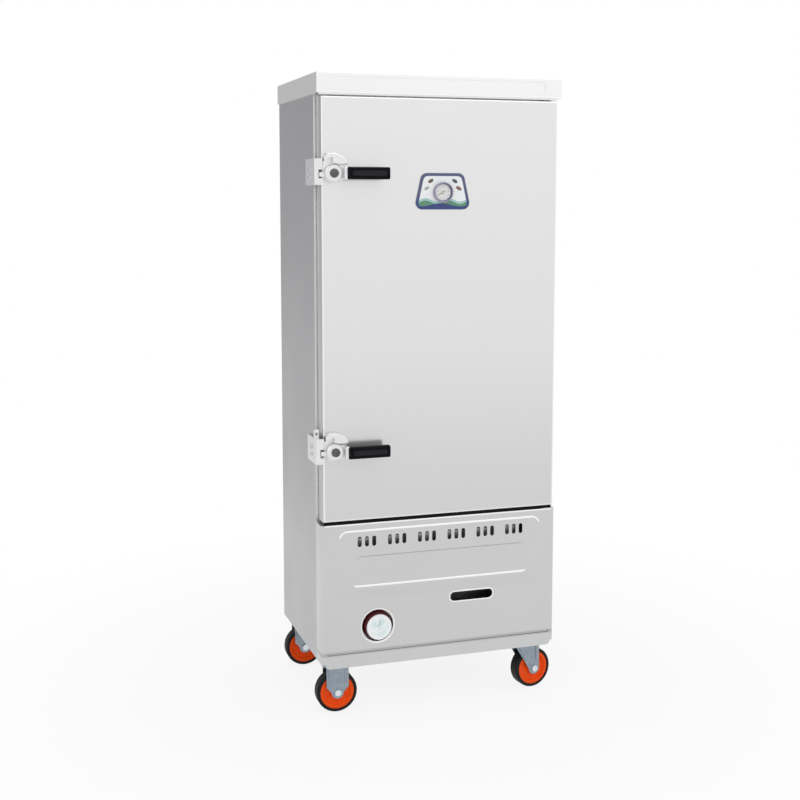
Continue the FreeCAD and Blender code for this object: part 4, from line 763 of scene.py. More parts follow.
@dataclass(frozen=True)
class Steel(Finish):
    """Brushed or rolled stainless sheet."""

    stretch: Point = (900.0, 900.0, 14.0)
    contrast: float = 0.022
    relief_depth: float = 0.000012
    patches: float = 0.5
    edges: float = 0.0
    edge_width: float = 0.006
    polish_and_highlight: float = 1.28
    dust: float = 0.25
    dust_colour: Colour = (0.52, 0.50, 0.46)
    low: Point = (-1.0, -1.0, -1.0)
    high: Point = (1.0, 1.0, 2.0)
    metal: float = 1.0
    foot: float = 1.0
    head: float = 1.0
    rim: float = 1.0
    painted_flank_shade: float = 1.0
    band: tuple[float, float] = (0.0, 1.0)

    def tones(self, graph: Graph, base: Socket, place: Socket) -> Socket:
        """Paints light and shade into a sheet's colour: darker towards its foot and lighter towards its head,
        a painted highlight along its outline, painted shade on its side faces and a band of painted shade at
        one height.

        Args:
            graph: the material's nodes.
            base: the sheet's colour so far.
            place: the place on the sheet.

        Returns:
            The shaded colour.
        """
        x, _, z = graph.parts(place)
        across = graph.math("MINIMUM", graph.less(x, self.low[0]), graph.less(self.high[0], x))
        upright = graph.math("MINIMUM", graph.less(z, self.low[2]), graph.less(self.high[2], z))
        # Painted shade and light: the sheet grows darker towards its foot and lighter towards its head.
        if self.foot != 1.0:
            middle = (self.low[2] + self.high[2]) / 2
            base = graph.blend(graph.spread(z, self.low[2], middle, 1.0, 0.0), base, self.worn(self.foot))
            base = graph.blend(graph.spread(z, self.low[2], self.high[2]), base, self.worn(self.head))
        # Painted highlight: a brighter line along the sheet's outline.
        if self.rim != 1.0:
            inward = graph.math("MINIMUM", across, upright)
            base = graph.blend(graph.spread(inward, 0.002, 0.0055, 1.0, 0.0), base, self.worn(self.rim))
        # Painted shade: the sheet's side faces are darker.
        if self.painted_flank_shade != 1.0:
            base = graph.blend(graph.spread(across, 0.0002, 0.0006, 1.0, 0.0), base, self.worn(self.painted_flank_shade))
        # Painted shade: a soft darker band along one height.
        if self.band[1] != 1.0:
            near = graph.math("ABSOLUTE", graph.less(z, self.band[0]))
            base = graph.blend(graph.spread(near, 0.0015, 0.008, 1.0, 0.0), base, self.worn(self.band[1]))
        return base

    def paint(self, graph: Graph, place: Socket) -> dict[str, object]:
        """Makes lines, wiped patches, polished edges that also carry a painted highlight, painted light and
        shade, and a film of dust.

        Args:
            graph: the material's nodes.
            place: the place on the sheet.

        Returns:
            What each of the shader's inputs gets.
        """
        drawn = graph.effect(LINES, place, Stretch=self.stretch, Relief=self.relief_depth)
        lines = drawn["Lines"]
        patches = graph.mask(PATCHES, place, Amount=self.patches)
        edges = graph.mask(EDGES, place, Low=self.low, High=self.high, Width=self.edge_width,
                           Amount=self.edges)
        dust = graph.mask(DUST, place, Amount=self.dust)
        base = graph.blend(lines, self.worn(1.0 - self.contrast), self.worn(1.0 + self.contrast))
        # The edge band is brighter: polished wear, and a painted highlight along the edges.
        base = self.tones(graph, graph.blend(edges, base, self.worn(self.polish_and_highlight)), place)
        base = graph.blend(graph.times(dust, 0.3), base, self.dust_colour)
        rough = graph.weigh(self.rough - 0.06, (lines, 0.06), (patches, 0.10), (dust, 0.2), (edges, -0.08))
        return {"Base Color": base, "Roughness": rough, "Metallic": self.metal,
                "Normal": graph.bump(drawn["Height"])}


@dataclass(frozen=True)
class Casting(Finish):
    """Cast or plated metal, with a faint orange peel and dulled hollows."""

    grain: float = 900.0
    relief_depth: float = 0.00002
    stain: Colour = (0.5, 0.5, 0.5)
    stains: float = 0.2
    dust: float = 0.4
    dust_colour: Colour = (0.46, 0.44, 0.40)

    def paint(self, graph: Graph, place: Socket) -> dict[str, object]:
        """Makes grain, mottled stains and a film of dust.

        Args:
            graph: the material's nodes.
            place: the place on the casting.

        Returns:
            What each of the shader's inputs gets.
        """
        grain = graph.effect(GRAIN, place, Scale=self.grain, Relief=self.relief_depth)
        patches = graph.mask(PATCHES, place, Amount=1.0)
        dust = graph.mask(DUST, place, Amount=self.dust)
        mottle = graph.spread(graph.noise(place, 95.0, 4.0, 0.6), 0.35, 0.7)
        base = graph.blend(graph.times(mottle, self.stains), self.colour, self.stain)
        base = graph.blend(graph.times(grain["Mask"], 0.25), base, self.worn(0.82))
        base = graph.blend(graph.times(dust, 0.35), base, self.dust_colour)
        rough = graph.weigh(self.rough, (patches, 0.12), (mottle, 0.06), (dust, 0.2))
        return {"Base Color": base, "Roughness": rough, "Metallic": 1.0,
                "Normal": graph.bump(grain["Height"])}


@dataclass(frozen=True)
class Moulding(Finish):
    """Moulded plastic, rubber, foam or enamel."""

    grain: float = 1400.0
    relief_depth: float = 0.00002
    coat: float = 0.0
    gloss: float = 0.5
    scuff: float = 0.3
    dust: float = 0.5
    dust_colour: Colour = (0.42, 0.40, 0.37)

    def paint(self, graph: Graph, place: Socket) -> dict[str, object]:
        """Makes grain, scuffed patches and a film of dust.

        Args:
            graph: the material's nodes.
            place: the place on the moulding.

        Returns:
            What each of the shader's inputs gets.
        """
        grain = graph.effect(GRAIN, place, Scale=self.grain, Relief=self.relief_depth)
        patches = graph.mask(PATCHES, place, Amount=self.scuff)
        dust = graph.mask(DUST, place, Amount=self.dust)
        base = graph.blend(graph.times(grain["Mask"], 0.3), self.worn(1.08), self.worn(0.86))
        base = graph.blend(graph.times(patches, 0.25), base, self.worn(1.35))
        base = graph.blend(graph.times(dust, 0.18), base, self.dust_colour)
        rough = graph.weigh(self.rough, (patches, 0.14), (grain["Mask"], 0.05))
        return {"Base Color": base, "Roughness": rough, "Normal": graph.bump(grain["Height"]),
                "Specular IOR Level": self.gloss, "Coat Weight": self.coat, "Coat Roughness": 0.12}


@dataclass(frozen=True)
class Spun(Finish):
    """Turned metal, with fine rings about a centre."""

    centre: Point = (0.0, 0.0, 0.0)
    pitch: float = 0.0011
    painted_shade_tint: Colour = (0.42, 0.66, 0.68)

    def paint(self, graph: Graph, place: Socket) -> dict[str, object]:
        """Makes rings about the centre, wiped patches and a cloud of painted teal shade.

        Args:
            graph: the material's nodes.
            place: the place on the metal.

        Returns:
            What each of the shader's inputs gets.
        """
        radius = graph.reach(place, self.centre, 1.0)
        ringed = graph.add("CombineXYZ", {0: radius}).outputs[0]
        rings = graph.noise(ringed, 1.0 / self.pitch, 3.0, 0.7)
        patches = graph.mask(PATCHES, place, Amount=1.0)
        base = graph.blend(graph.spread(rings, 0.3, 0.7), self.worn(0.9), self.worn(1.06))
        # Painted shade: a teal cloud towards the disc's centre.
        cloud = graph.spread(graph.noise(place, 55.0, 3.0, 0.6), 0.42, 0.62)
        inner = graph.spread(radius, 0.012, 0.026, 1.0, 0.25)
        base = graph.blend(graph.times(graph.times(cloud, inner), 0.65), base, self.painted_shade_tint)
        return {"Base Color": base, "Roughness": graph.weigh(self.rough, (patches, 0.12)), "Metallic": 1.0,
                "Normal": graph.bump(graph.times(rings, 0.00003))}


@dataclass(frozen=True)
class Glass(Finish):
    """Clear glass with a trace of wiping."""

    def paint(self, graph: Graph, place: Socket) -> dict[str, object]:
        """Makes a slightly uneven roughness over a clear body.

        Args:
            graph: the material's nodes.
            place: the place on the glass.

        Returns:
            What each of the shader's inputs gets.
        """
        patches = graph.mask(PATCHES, place, Amount=1.0)
        return {"Base Color": graph.blend(patches, self.colour, self.worn(0.97)),
                "Roughness": graph.weigh(self.rough, (patches, 0.03)),
                "Transmission Weight": 1.0, "IOR": 1.45, "Alpha": 0.18}


@dataclass(frozen=True)
class PlatePrint(Finish):
    """The thermometer's printed plate: a border, a wave and small marks on a white ground."""

    middle: Point = (0.0, 0.0, 1250.5)
    half_foot: float = 70.5
    half_head: float = 52.0
    half_height: float = 42.5
    rounding: float = 16.0
    border: tuple[float, float] = (-1.2, 7.0)
    border_colour: Colour = (0.075, 0.085, 0.19)
    foot_colour: Colour = (0.008, 0.03, 0.20)
    wave_colour: Colour = (0.09, 0.27, 0.15)
    sea_colour: Colour = (0.36, 0.62, 0.60)
    marks: tuple[tuple[float, float, float, Colour], ...] = (
        (-30.0, 24.0, 6.8, (0.13, 0.085, 0.03)), (-40.0, 7.0, 6.0, (0.40, 0.42, 0.38)),
        (30.0, 24.0, 6.8, (0.07, 0.075, 0.12)), (40.0, 7.0, 7.2, (0.25, 0.12, 0.10)))

    def outline(self, graph: Graph, x: Socket, z: Socket) -> Socket:
        """One on the plate's border, with soft edges.

        Args:
            graph: the material's nodes.
            x: the place across from the plate's middle.
            z: the place up from the plate's middle.

        Returns:
            The border's mask.
        """
        lean = (self.half_foot - self.half_head) / (2 * self.half_height)
        side = graph.weigh(graph.math("ABSOLUTE", x), (z, lean))
        across = graph.less((self.half_foot + self.half_head) / 2, side)
        upright = graph.less(self.half_height, graph.math("ABSOLUTE", z))
        edge = graph.math("SMOOTH_MIN", across, upright, self.rounding)
        low, high = self.border
        rise = graph.spread(edge, low - 0.25, low + 0.25)
        return graph.times(rise, graph.spread(edge, high - 0.25, high + 0.25, 1.0, 0.0))

    def wave(self, graph: Graph, x: Socket, z: Socket, pitch: float, start: float, height: float) -> Socket:
        """The place up from a wavy line."""
        return graph.less(z, graph.times(graph.math("SINE", graph.weigh(start, (x, pitch))), height))

    def paint(self, graph: Graph, place: Socket) -> dict[str, object]:
        """Makes the print, worked out from the plate's middle.

        Args:
            graph: the material's nodes.
            place: the place on the plate.

        Returns:
            What each of the shader's inputs gets.
        """
        local = graph.parts(graph.vector("SUBTRACT", place, at(self.middle)))
        x, z = graph.times(local[0], 1.0 / MM), graph.times(local[2], 1.0 / MM)
        sea = self.wave(graph, x, z, 0.11, 0.0, 4.0)
        swell = self.wave(graph, x, z, 0.062, 1.9, 3.6)
        colour = graph.blend(graph.noise(place, 300.0), self.worn(1.0), self.worn(0.97))
        for level, start, tint in ((sea, -20.4, self.sea_colour), (sea, -26.2, self.wave_colour),
                                   (swell, -32.2, self.foot_colour)):
            colour = graph.blend(graph.spread(level, start, start + 0.8, 1.0, 0.0), colour, tint)
        for mark_x, mark_z, size, tint in self.marks:
            dx = graph.times(graph.less(x, mark_x), 1.0 / size)
            dz = graph.times(graph.less(z, mark_z), 1.25 / size)
            slant = graph.times(graph.weigh(dz, (dx, math.copysign(0.45, mark_x))), 1.2)
            away = graph.weigh(graph.times(dx, dx), (slant, slant))
            colour = graph.blend(graph.spread(away, 0.75, 1.2, 1.0, 0.0), colour, tint)
        rim = self.outline(graph, x, z)
        shaded = graph.blend(graph.spread(z, -40.0, 5.0), self.foot_colour, self.border_colour)
        patches = graph.mask(PATCHES, place, Amount=1.0)
        return {"Base Color": graph.blend(rim, colour, shaded),
                "Roughness": graph.weigh(self.rough, (patches, 0.1)), "Coat Weight": 0.6,
                "Coat Roughness": 0.08, "Normal": graph.bump(graph.times(rim, 0.00004))}


@dataclass(frozen=True)
class DialPrint(Finish):
    """The dial's white face, with a tinted ring and a warm middle."""

    centre: Point = (0.0, 0.0, 1248.0)
    ring: Colour = (0.30, 0.28, 0.39)
    warm: Colour = (0.78, 0.78, 0.62)

    def paint(self, graph: Graph, place: Socket) -> dict[str, object]:
        """Makes rings by distance from the dial's centre.

        Args:
            graph: the material's nodes.
            place: the place on the dial.

        Returns:
            What each of the shader's inputs gets.
        """
        radius = graph.reach(place, self.centre, 1.0 / MM)
        speck = graph.noise(place, 900.0)
        colour = graph.blend(speck, self.worn(1.0), self.worn(0.96))
        colour = graph.blend(graph.spread(radius, 3.0, 6.5, 1.0, 0.0), colour, self.warm)
        colour = graph.blend(graph.spread(radius, 18.9, 19.2), colour, self.ring)
        return {"Base Color": colour, "Roughness": graph.weigh(self.rough, (speck, 0.1)),
                "Normal": graph.bump(graph.times(speck, 0.00001))}


ACROSS = (14.0, 900.0, 900.0)
CASING = Steel("finish_casing", (0.62, 0.622, 0.628), 0.36, edges=0.5)
# Painted shade: the side sheets are the casing's steel made darker.
SIDE_SHADED_SHEET = Steel("finish_side", (0.49, 0.49, 0.50), 0.38, edges=0.3)
CAP_SHEET = Steel("finish_cap", (0.84, 0.84, 0.84), 0.40, stretch=ACROSS, edges=0.4)
# The door's sheet carries painted shade towards its foot and on its side faces, and painted light towards its
# head and along its outline.
DOOR_SHEET = Steel("finish_door", (0.755, 0.755, 0.757), 0.22, edges=0.8, metal=0.7, foot=0.882, head=1.08,
                   rim=1.18, painted_flank_shade=0.62)
# Painted highlight: a bright sheet for the panel's hem and the pressed crests.
HIGHLIGHT_STEEL = Steel("finish_hem", (0.93, 0.93, 0.932), 0.32)
# Painted highlight: a bright satin finish for the slot's lip, the ring in the knob's dish and the knob's rim.
SATIN_HIGHLIGHT = Casting("finish_satin", (0.92, 0.92, 0.925), 0.30, relief_depth=0.000005, stain=(0.8, 0.8, 0.81),
                stains=0.1)
INNER_SHEET = Steel("finish_inner", (0.66, 0.66, 0.665), 0.27, stretch=ACROSS, patches=0.8)
FRAME_SHEET = Steel("finish_frame", (0.92, 0.92, 0.925), 0.36)
BASE_SHEET = Steel("finish_base", (0.60, 0.60, 0.605), 0.38)
TRAY_SHEET = Steel("finish_tray", (0.70, 0.70, 0.71), 0.24, stretch=(10.0, 600.0, 600.0), patches=1.0)
# Painted shade: darker steel for the strip in the bottom of the groove.
GROOVE_SHADE = Steel("finish_groove", (0.46, 0.46, 0.47), 0.45, stretch=ACROSS)
RAIL = Steel("finish_rail", (0.58, 0.58, 0.59), 0.34)
AXLE = Steel("finish_axle", (0.55, 0.56, 0.58), 0.30, stretch=(300.0, 300.0, 300.0), patches=0.8)
LATCH_CASTING = Casting("finish_latch", (0.82, 0.82, 0.825), 0.20, stain=(0.62, 0.63, 0.66))
LATCH_BOLT = Casting("finish_latch_bolt", (0.115, 0.115, 0.12), 0.34, stain=(0.20, 0.20, 0.21), stains=0.4)
BOLT = Casting("finish_bolt", (0.66, 0.66, 0.68), 0.24, stain=(0.42, 0.42, 0.44))
ZINC = Casting("finish_zinc", (0.27, 0.335, 0.40), 0.30, stain=(0.42, 0.43, 0.44), stains=0.6)
NUT_ZINC = Casting("finish_nut_zinc", (0.78, 0.82, 0.85), 0.22, stain=(0.55, 0.60, 0.64), stains=0.3)
BEZEL = Casting("finish_bezel", (0.36, 0.345, 0.46), 0.20, relief_depth=0.000005, stain=(0.5, 0.48, 0.57))
CHROME = Casting("finish_chrome", (0.84, 0.85, 0.87), 0.10, relief_depth=0.000005, stain=(0.7, 0.71, 0.74))
BRASS = Casting("finish_brass", (0.72, 0.52, 0.24), 0.28, stain=(0.42, 0.27, 0.12), stains=0.6)
COPPER = Casting("finish_gas_tube", (0.70, 0.40, 0.26), 0.32, stain=(0.38, 0.20, 0.12), stains=0.6)
BURNER_IRON = Moulding("finish_burner", (0.045, 0.043, 0.042), 0.72, grain=700.0, relief_depth=0.00012,
                       scuff=0.8)
GRIP = Moulding("finish_grip", (0.003, 0.003, 0.005), 0.50, relief_depth=0.00003, gloss=0.08, scuff=0.1,
                dust=0.08)
# Partly painted sheen: the inlay is glossier than the grip, and its lighter colour paints the sheen along the
# grip's middle.
GRIP_SHEEN_PAD = Moulding("finish_grip_pad", (0.010, 0.009, 0.014), 0.40, grain=2200.0, gloss=0.2, scuff=0.2,
                    dust=0.1)
KNOB = Moulding("finish_knob", (0.060, 0.002, 0.004), 0.36, grain=1800.0, relief_depth=0.00001, gloss=0.15,
                dust=0.1)
KNOB_DISC = Spun("finish_knob_disc", (0.88, 0.905, 0.905), 0.20, centre=(-161.0, 0.0, 213.0))
PRINT_DARK = Moulding("finish_dial_print", (0.50, 0.48, 0.56), 0.40)
POINTER = Moulding("finish_pointer", (0.34, 0.47, 0.49), 0.35)
# Painted shadow: a black strip for the gap under the door.
GAP_SHADE = Moulding("finish_sill_seal", (0.006, 0.006, 0.007), 0.6, gloss=0.1, scuff=0.1, dust=0.1)
NEEDLE = Moulding("finish_needle", (0.30, 0.31, 0.10), 0.30, coat=0.3)
RUBBER = Moulding("finish_seal", (0.66, 0.66, 0.65), 0.52, grain=1100.0, relief_depth=0.00005)
FOAM = Moulding("finish_foam", (0.62, 0.52, 0.30), 0.85, grain=420.0, relief_depth=0.0004)
CORE = Moulding("finish_wheel_core", (1.0, 0.090, 0.006), 0.36, grain=900.0, relief_depth=0.00001, gloss=0.15,
                scuff=0.0, dust=0.15)
TYRE = Moulding("finish_tyre", (0.008, 0.008, 0.010), 0.50, grain=1300.0, relief_depth=0.00004, gloss=0.2,
                dust=0.15)
SLEEVE = Moulding("finish_lever_sleeve", (0.55, 0.035, 0.02), 0.35, coat=0.2)
LENS = Glass("finish_lens", (0.97, 0.98, 0.98), 0.02)
PLATE_PRINT = PlatePrint("finish_plate_print", (0.95, 0.97, 0.98), 0.30)
DIAL_PRINT = DialPrint("finish_dial_face", (0.92, 0.92, 0.92), 0.35)


# Fitting pieces to the frame

class Fitter:
    """Dresses CAD nodes, and rides, names and finishes new pieces."""

    def __init__(self, frame: dict[str, object]) -> None:
        """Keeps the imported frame's nodes."""
        self.nodes: dict[str, Piece] = frame["nodes"]
        self.dressed: set[str] = set()

    def dress(self, finish: Finish, *names: str) -> None:
        """Gives CAD nodes a finish.

        Args:
            finish: the finish.
            names: the nodes.
        """
        for name in names:
            node = self.nodes[name]
            if not node.material_slots:
                node.data.materials.append(None)
            for slot in node.material_slots:
                slot.material = finish.material()
            self.dressed.add(name)

    def dress_box(self, finish: Steel, name: str) -> None:
        """Gives a node its own copy of a sheet finish, worn along the edges of the node's box."""
        low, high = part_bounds(name)
        self.dress(replace(finish, name=f"{finish.name}_{name}", low=tuple(low), high=tuple(high)), name)

    def fit(self, piece: Piece, finish: Finish, body: str) -> None:
        """Finishes a new piece and rides it on a body.

        Args:
            piece: the piece.
            finish: what it is finished in.
            body: the CAD body that carries it.
        """
        Bench.take(piece)
        bpy.ops.object.shade_smooth_by_angle(angle=math.radians(SMOOTH_BELOW))
        piece.data.materials.clear()
        piece.data.materials.append(finish.material())
        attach(piece, body)
        LOG.info("%s: %d faces on %s", piece.name, len(piece.data.polygons), body)


# Sub-assemblies

@dataclass(frozen=True)
class PanHead:
    """A screw's round head with a crossed recess."""

    radius: float
    height: float
    sides: int
    soft: float
    arm: float
    slim: float
    depth: float

    def make(self, name: str, foot: Point, axis: Axis, way: int) -> Piece:
        """Makes the head on a face.

        Args:
            name: the piece's name.
            foot: the middle of its foot.
            axis: the axis that it stands along, X or Y.
            way: 1 where it stands up the axis, -1 where it stands down it.

        Returns:
            The head.
        """
        along, across = axis.value, 1 - axis.value
        middle = list(foot)
        middle[along] += way * self.height / 2
        head = Bench.drum(name, tuple(middle), self.radius, self.height, axis, self.sides)
        face = foot[along] + way * self.height
        Bench.round_off(head, self.soft, 3, lies_at(axis, face))
        cutters = []
        for wide, tall in ((self.arm, self.slim), (self.slim, self.arm)):
            low, high = list(foot), list(foot)
            low[along], high[along] = sorted((face - way * self.depth, face + way))
            low[across], high[across] = foot[across] - wide, foot[across] + wide
            low[2], high[2] = foot[2] - tall, foot[2] + tall
            cutters.append(Bench.block("recess", tuple(low), tuple(high)))
        Bench.carve(head, *cutters)
        return head


@dataclass
class Casing:
    """The cabinet's outside sheets, its frame and what fixes them."""

    half: float = 300.0
    back: float = 405.0
    cap_bottom: float = 1473.0
    groove_level: float = 152.5
    groove_shade: float = 0.76
    screw: PanHead = PanHead(4.6, 2.2, 20, 1.0, 2.3, 0.5, 1.0)
    screw_inset: float = 14.0
    screw_low: float = 140.0
    screw_high: float = 1455.0
    screw_rows: int = 9

    def cap_lip(self) -> Piece:
        """Makes the cap's folded lip, which narrows the gap over the door.

        Returns:
            The lip.
        """
        low = (-self.half + 1.5, 3.0, self.cap_bottom - 4.2)
        high = (self.half - 1.5, 5.0, self.cap_bottom + 0.3)
        lip = Bench.block("cap_lip", low, high)
        foot, long = lies_at(Axis.Z, low[2]), runs_along(Axis.X, 10.0)
        Bench.round_off(lip, 0.8, 3, lambda place, run: foot(place, run) and long(place, run))
        return lip

    def back_screws(self) -> Piece:
        """Makes the back panel's screws, down both sides and along the foot and head.

        Returns:
            The screws as one piece.
        """
        tall = self.screw_high - self.screw_low
        wide = 2 * (self.half - self.screw_inset)
        pitch = tall / (self.screw_rows - 1)
        moves = [(side * wide, 0.0, row * pitch) for side in (0, 1) for row in range(self.screw_rows)][1:]
        moves += [(wide * share, 0.0, lift) for share in (0.25, 0.5, 0.75) for lift in (0.0, tall)]
        foot = (-self.half + self.screw_inset, self.back, self.screw_low)
        head = self.screw.make("back_screws", foot, Axis.Y, 1)
        Bench.copies(head, moves)
        return head

    def build(self, fitter: Fitter) -> None:
        """Dresses the casing, and adds the back panel's screws and the cap's lip.

        Args:
            fitter: what dresses and fits the pieces.
        """
        # Painted shade: the lower panel's sheet is darker in a soft band along the pressed groove.
        band = (self.groove_level * MM, self.groove_shade)
        fitter.dress_box(CASING, "back_panel")
        fitter.dress_box(replace(CASING, band=band), "lower_panel")
        fitter.dress_box(SIDE_SHADED_SHEET, "side_panels")
        fitter.dress_box(CAP_SHEET, "top_cap")
        fitter.dress(FRAME_SHEET, "front_frame")
        fitter.dress(BASE_SHEET, "base_frame")
        fitter.dress(FOAM, "insulation")
        fitter.fit(self.back_screws(), BOLT, "cabinet")
        fitter.fit(self.cap_lip(), CAP_SHEET, "cabinet")


@dataclass
class LowerPanel:
    """The pressed details of the lower front panel, with painted highlights on its edges and painted shade in
    its gaps.
    """

    slot: tuple[float, float] = (79.0, 266.0)
    slot_half: float = 55.0
    slot_rise: float = 11.0
    lip: float = 3.6
    lip_front: float = -1.5
    groove_half: float = 284.0
    groove_level: float = 152.5
    groove_rise: float = 2.3
    groove_floor: float = 2.7
    hem_half: float = 291.0
    hem: Span = (463.6, 467.3)
    shade_strip: Span = (467.2, 474.6)
    crest_depth: Span = (0.5, -4.0)
    crests: tuple[tuple[str, float, Span, float, float, float], ...] = (
        ("field_crest", 259.0, (300.0, 452.2), 22.0, 436.2, 1.0),
        ("recess_crest", 224.0, (311.8, 390.0), 13.0, 318.8, -1.0))

    def crest(self, name: str, reach: float, rise: Span, corner: float, level: float, keep: float) -> Piece:
        """Makes a bright strip along one pressed edge, with the starts of its rounded corners, as a painted
        highlight.

        Args:
            name: the piece's name.
            reach: half its outside width.
            rise: its outside foot and head.
            corner: its outside corner radius.
            level: the height that it is cut off at.
            keep: 1 to keep what is above that height, -1 to keep what is below.

        Returns:
            The crest.
        """
        crest = Bench.ring(name, (-reach, reach), rise, self.crest_depth, Axis.Y, 5.2, corner, 1.3)
        Bench.pick(crest, "verts", lambda place, way: True)
        bpy.ops.mesh.bisect(plane_co=at((0.0, 0.0, level)), plane_no=(0.0, 0.0, keep), clear_inner=True,
                            use_fill=True)
        bpy.ops.object.mode_set(mode="OBJECT")
        return crest

    def slot_lip(self) -> Piece:
        """Makes the slot's rolled lip, which stands a little in front of the panel.

        Returns:
            The lip.
        """
        x, z = self.slot
        wide, tall = self.slot_half + self.lip, self.slot_rise + self.lip
        return Bench.ring("slot_lip", (x - wide, x + wide), (z - tall, z + tall), (1.0, self.lip_front),
                          Axis.Y, self.lip, tall - 1.3, 0.9)

    def groove_line(self) -> Piece:
        """Makes the strip of shade in the bottom of the pressed groove.

        Returns:
            The strip.
        """
        low = (-self.groove_half, self.groove_floor - 1.4, self.groove_level - self.groove_rise)
        high = (self.groove_half, self.groove_floor, self.groove_level + self.groove_rise)
        line = Bench.block("groove_line", low, high)
        Bench.round_off(line, 2.2, 5, runs_along(Axis.Y, 0.5))
        Bench.soften(line, 0.4)
        return line

    def build(self, fitter: Fitter) -> None:
        """Adds the rolled hem and the crests in a painted highlight finish, a black strip of painted shadow
        in the gap under the door, the slot's lip in a painted highlight finish and the groove's line.

        Args:
            fitter: what dresses and fits the pieces.
        """
        half = self.hem_half
        hem = Bench.block("panel_hem", (-half, -0.6, self.hem[0]), (half, 3.0, self.hem[1]), 0.6, 3)
        fitter.fit(hem, HIGHLIGHT_STEEL, "cabinet")
        # Painted shadow: a black strip in the gap under the door, where there is only shade.
        shade_strip = Bench.block("sill_seal", (-half, 3.5, self.shade_strip[0]), (half, 9.0, self.shade_strip[1]), 0.8)
        fitter.fit(shade_strip, GAP_SHADE, "cabinet")
        for sizes in self.crests:
            fitter.fit(self.crest(*sizes), HIGHLIGHT_STEEL, "cabinet")
        fitter.fit(self.slot_lip(), SATIN_HIGHLIGHT, "cabinet")
        fitter.fit(self.groove_line(), GROOVE_SHADE, "cabinet")


@dataclass
class DoorInside:
    """The inner side of the door: its seal and its stiffening bead."""

    half: float = 270.0
    low: float = 498.0
    high: float = 1440.8
    seal_width: float = 9.0
    seal_front: float = 42.0
    seal_back: float = 46.6
    skirt_edge: float = 290.0
    skirt_depth: float = 3.4
    bead_margin: float = 34.0
    bead_width: float = 12.0
    bead_rise: float = 1.6

    def edging(self, name: str, outset: float, back: float, width: float, corner: float,
               bead: float) -> Piece:
        """Makes a ring round the inside of the door.

        Args:
            name: the piece's name.
            outset: how far it stands outside the door's inner sheet.
            back: where it ends behind the door's face.
            width: the width of its band.
            corner: its outside corner radius.
            bead: the radius of its front edges.

        Returns:
            The ring.
        """
        reach = self.half + outset
        return Bench.ring(name, (-reach, reach), (self.low - outset, self.high + outset),
                          (self.seal_front, back), Axis.Y, width, corner, bead)

    def build(self, fitter: Fitter) -> None:
        """Dresses the door's sheets, and makes the rounded seal and the bead.

        Args:
            fitter: what dresses and fits the pieces.
        """
        fitter.dress_box(DOOR_SHEET, "door_skin")
        fitter.dress(INNER_SHEET, "door_inner_skin")
        fitter.dress(FOAM, "door_foam")
        fitter.dress(RAIL, "hinge_brackets")
        fitter.dress(BRASS, "hinge_bushes")
        wide, outset = self.seal_width, self.skirt_edge - self.half
        seal = self.edging("door_seal", wide, self.seal_back, wide, wide, 2.2)
        fitter.fit(seal, RUBBER, "door")
        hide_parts("door_gasket")
        skirt = self.edging("door_seal_skirt", outset, self.seal_front + self.skirt_depth,
                            outset - wide + 0.5, 6.0, 1.0)
        fitter.fit(skirt, RUBBER, "door")
        bead = self.edging("door_bead", -self.bead_margin, self.seal_front + self.bead_rise,
                           self.bead_width, 20.0, 1.4)
        fitter.fit(bead, INNER_SHEET, "door")


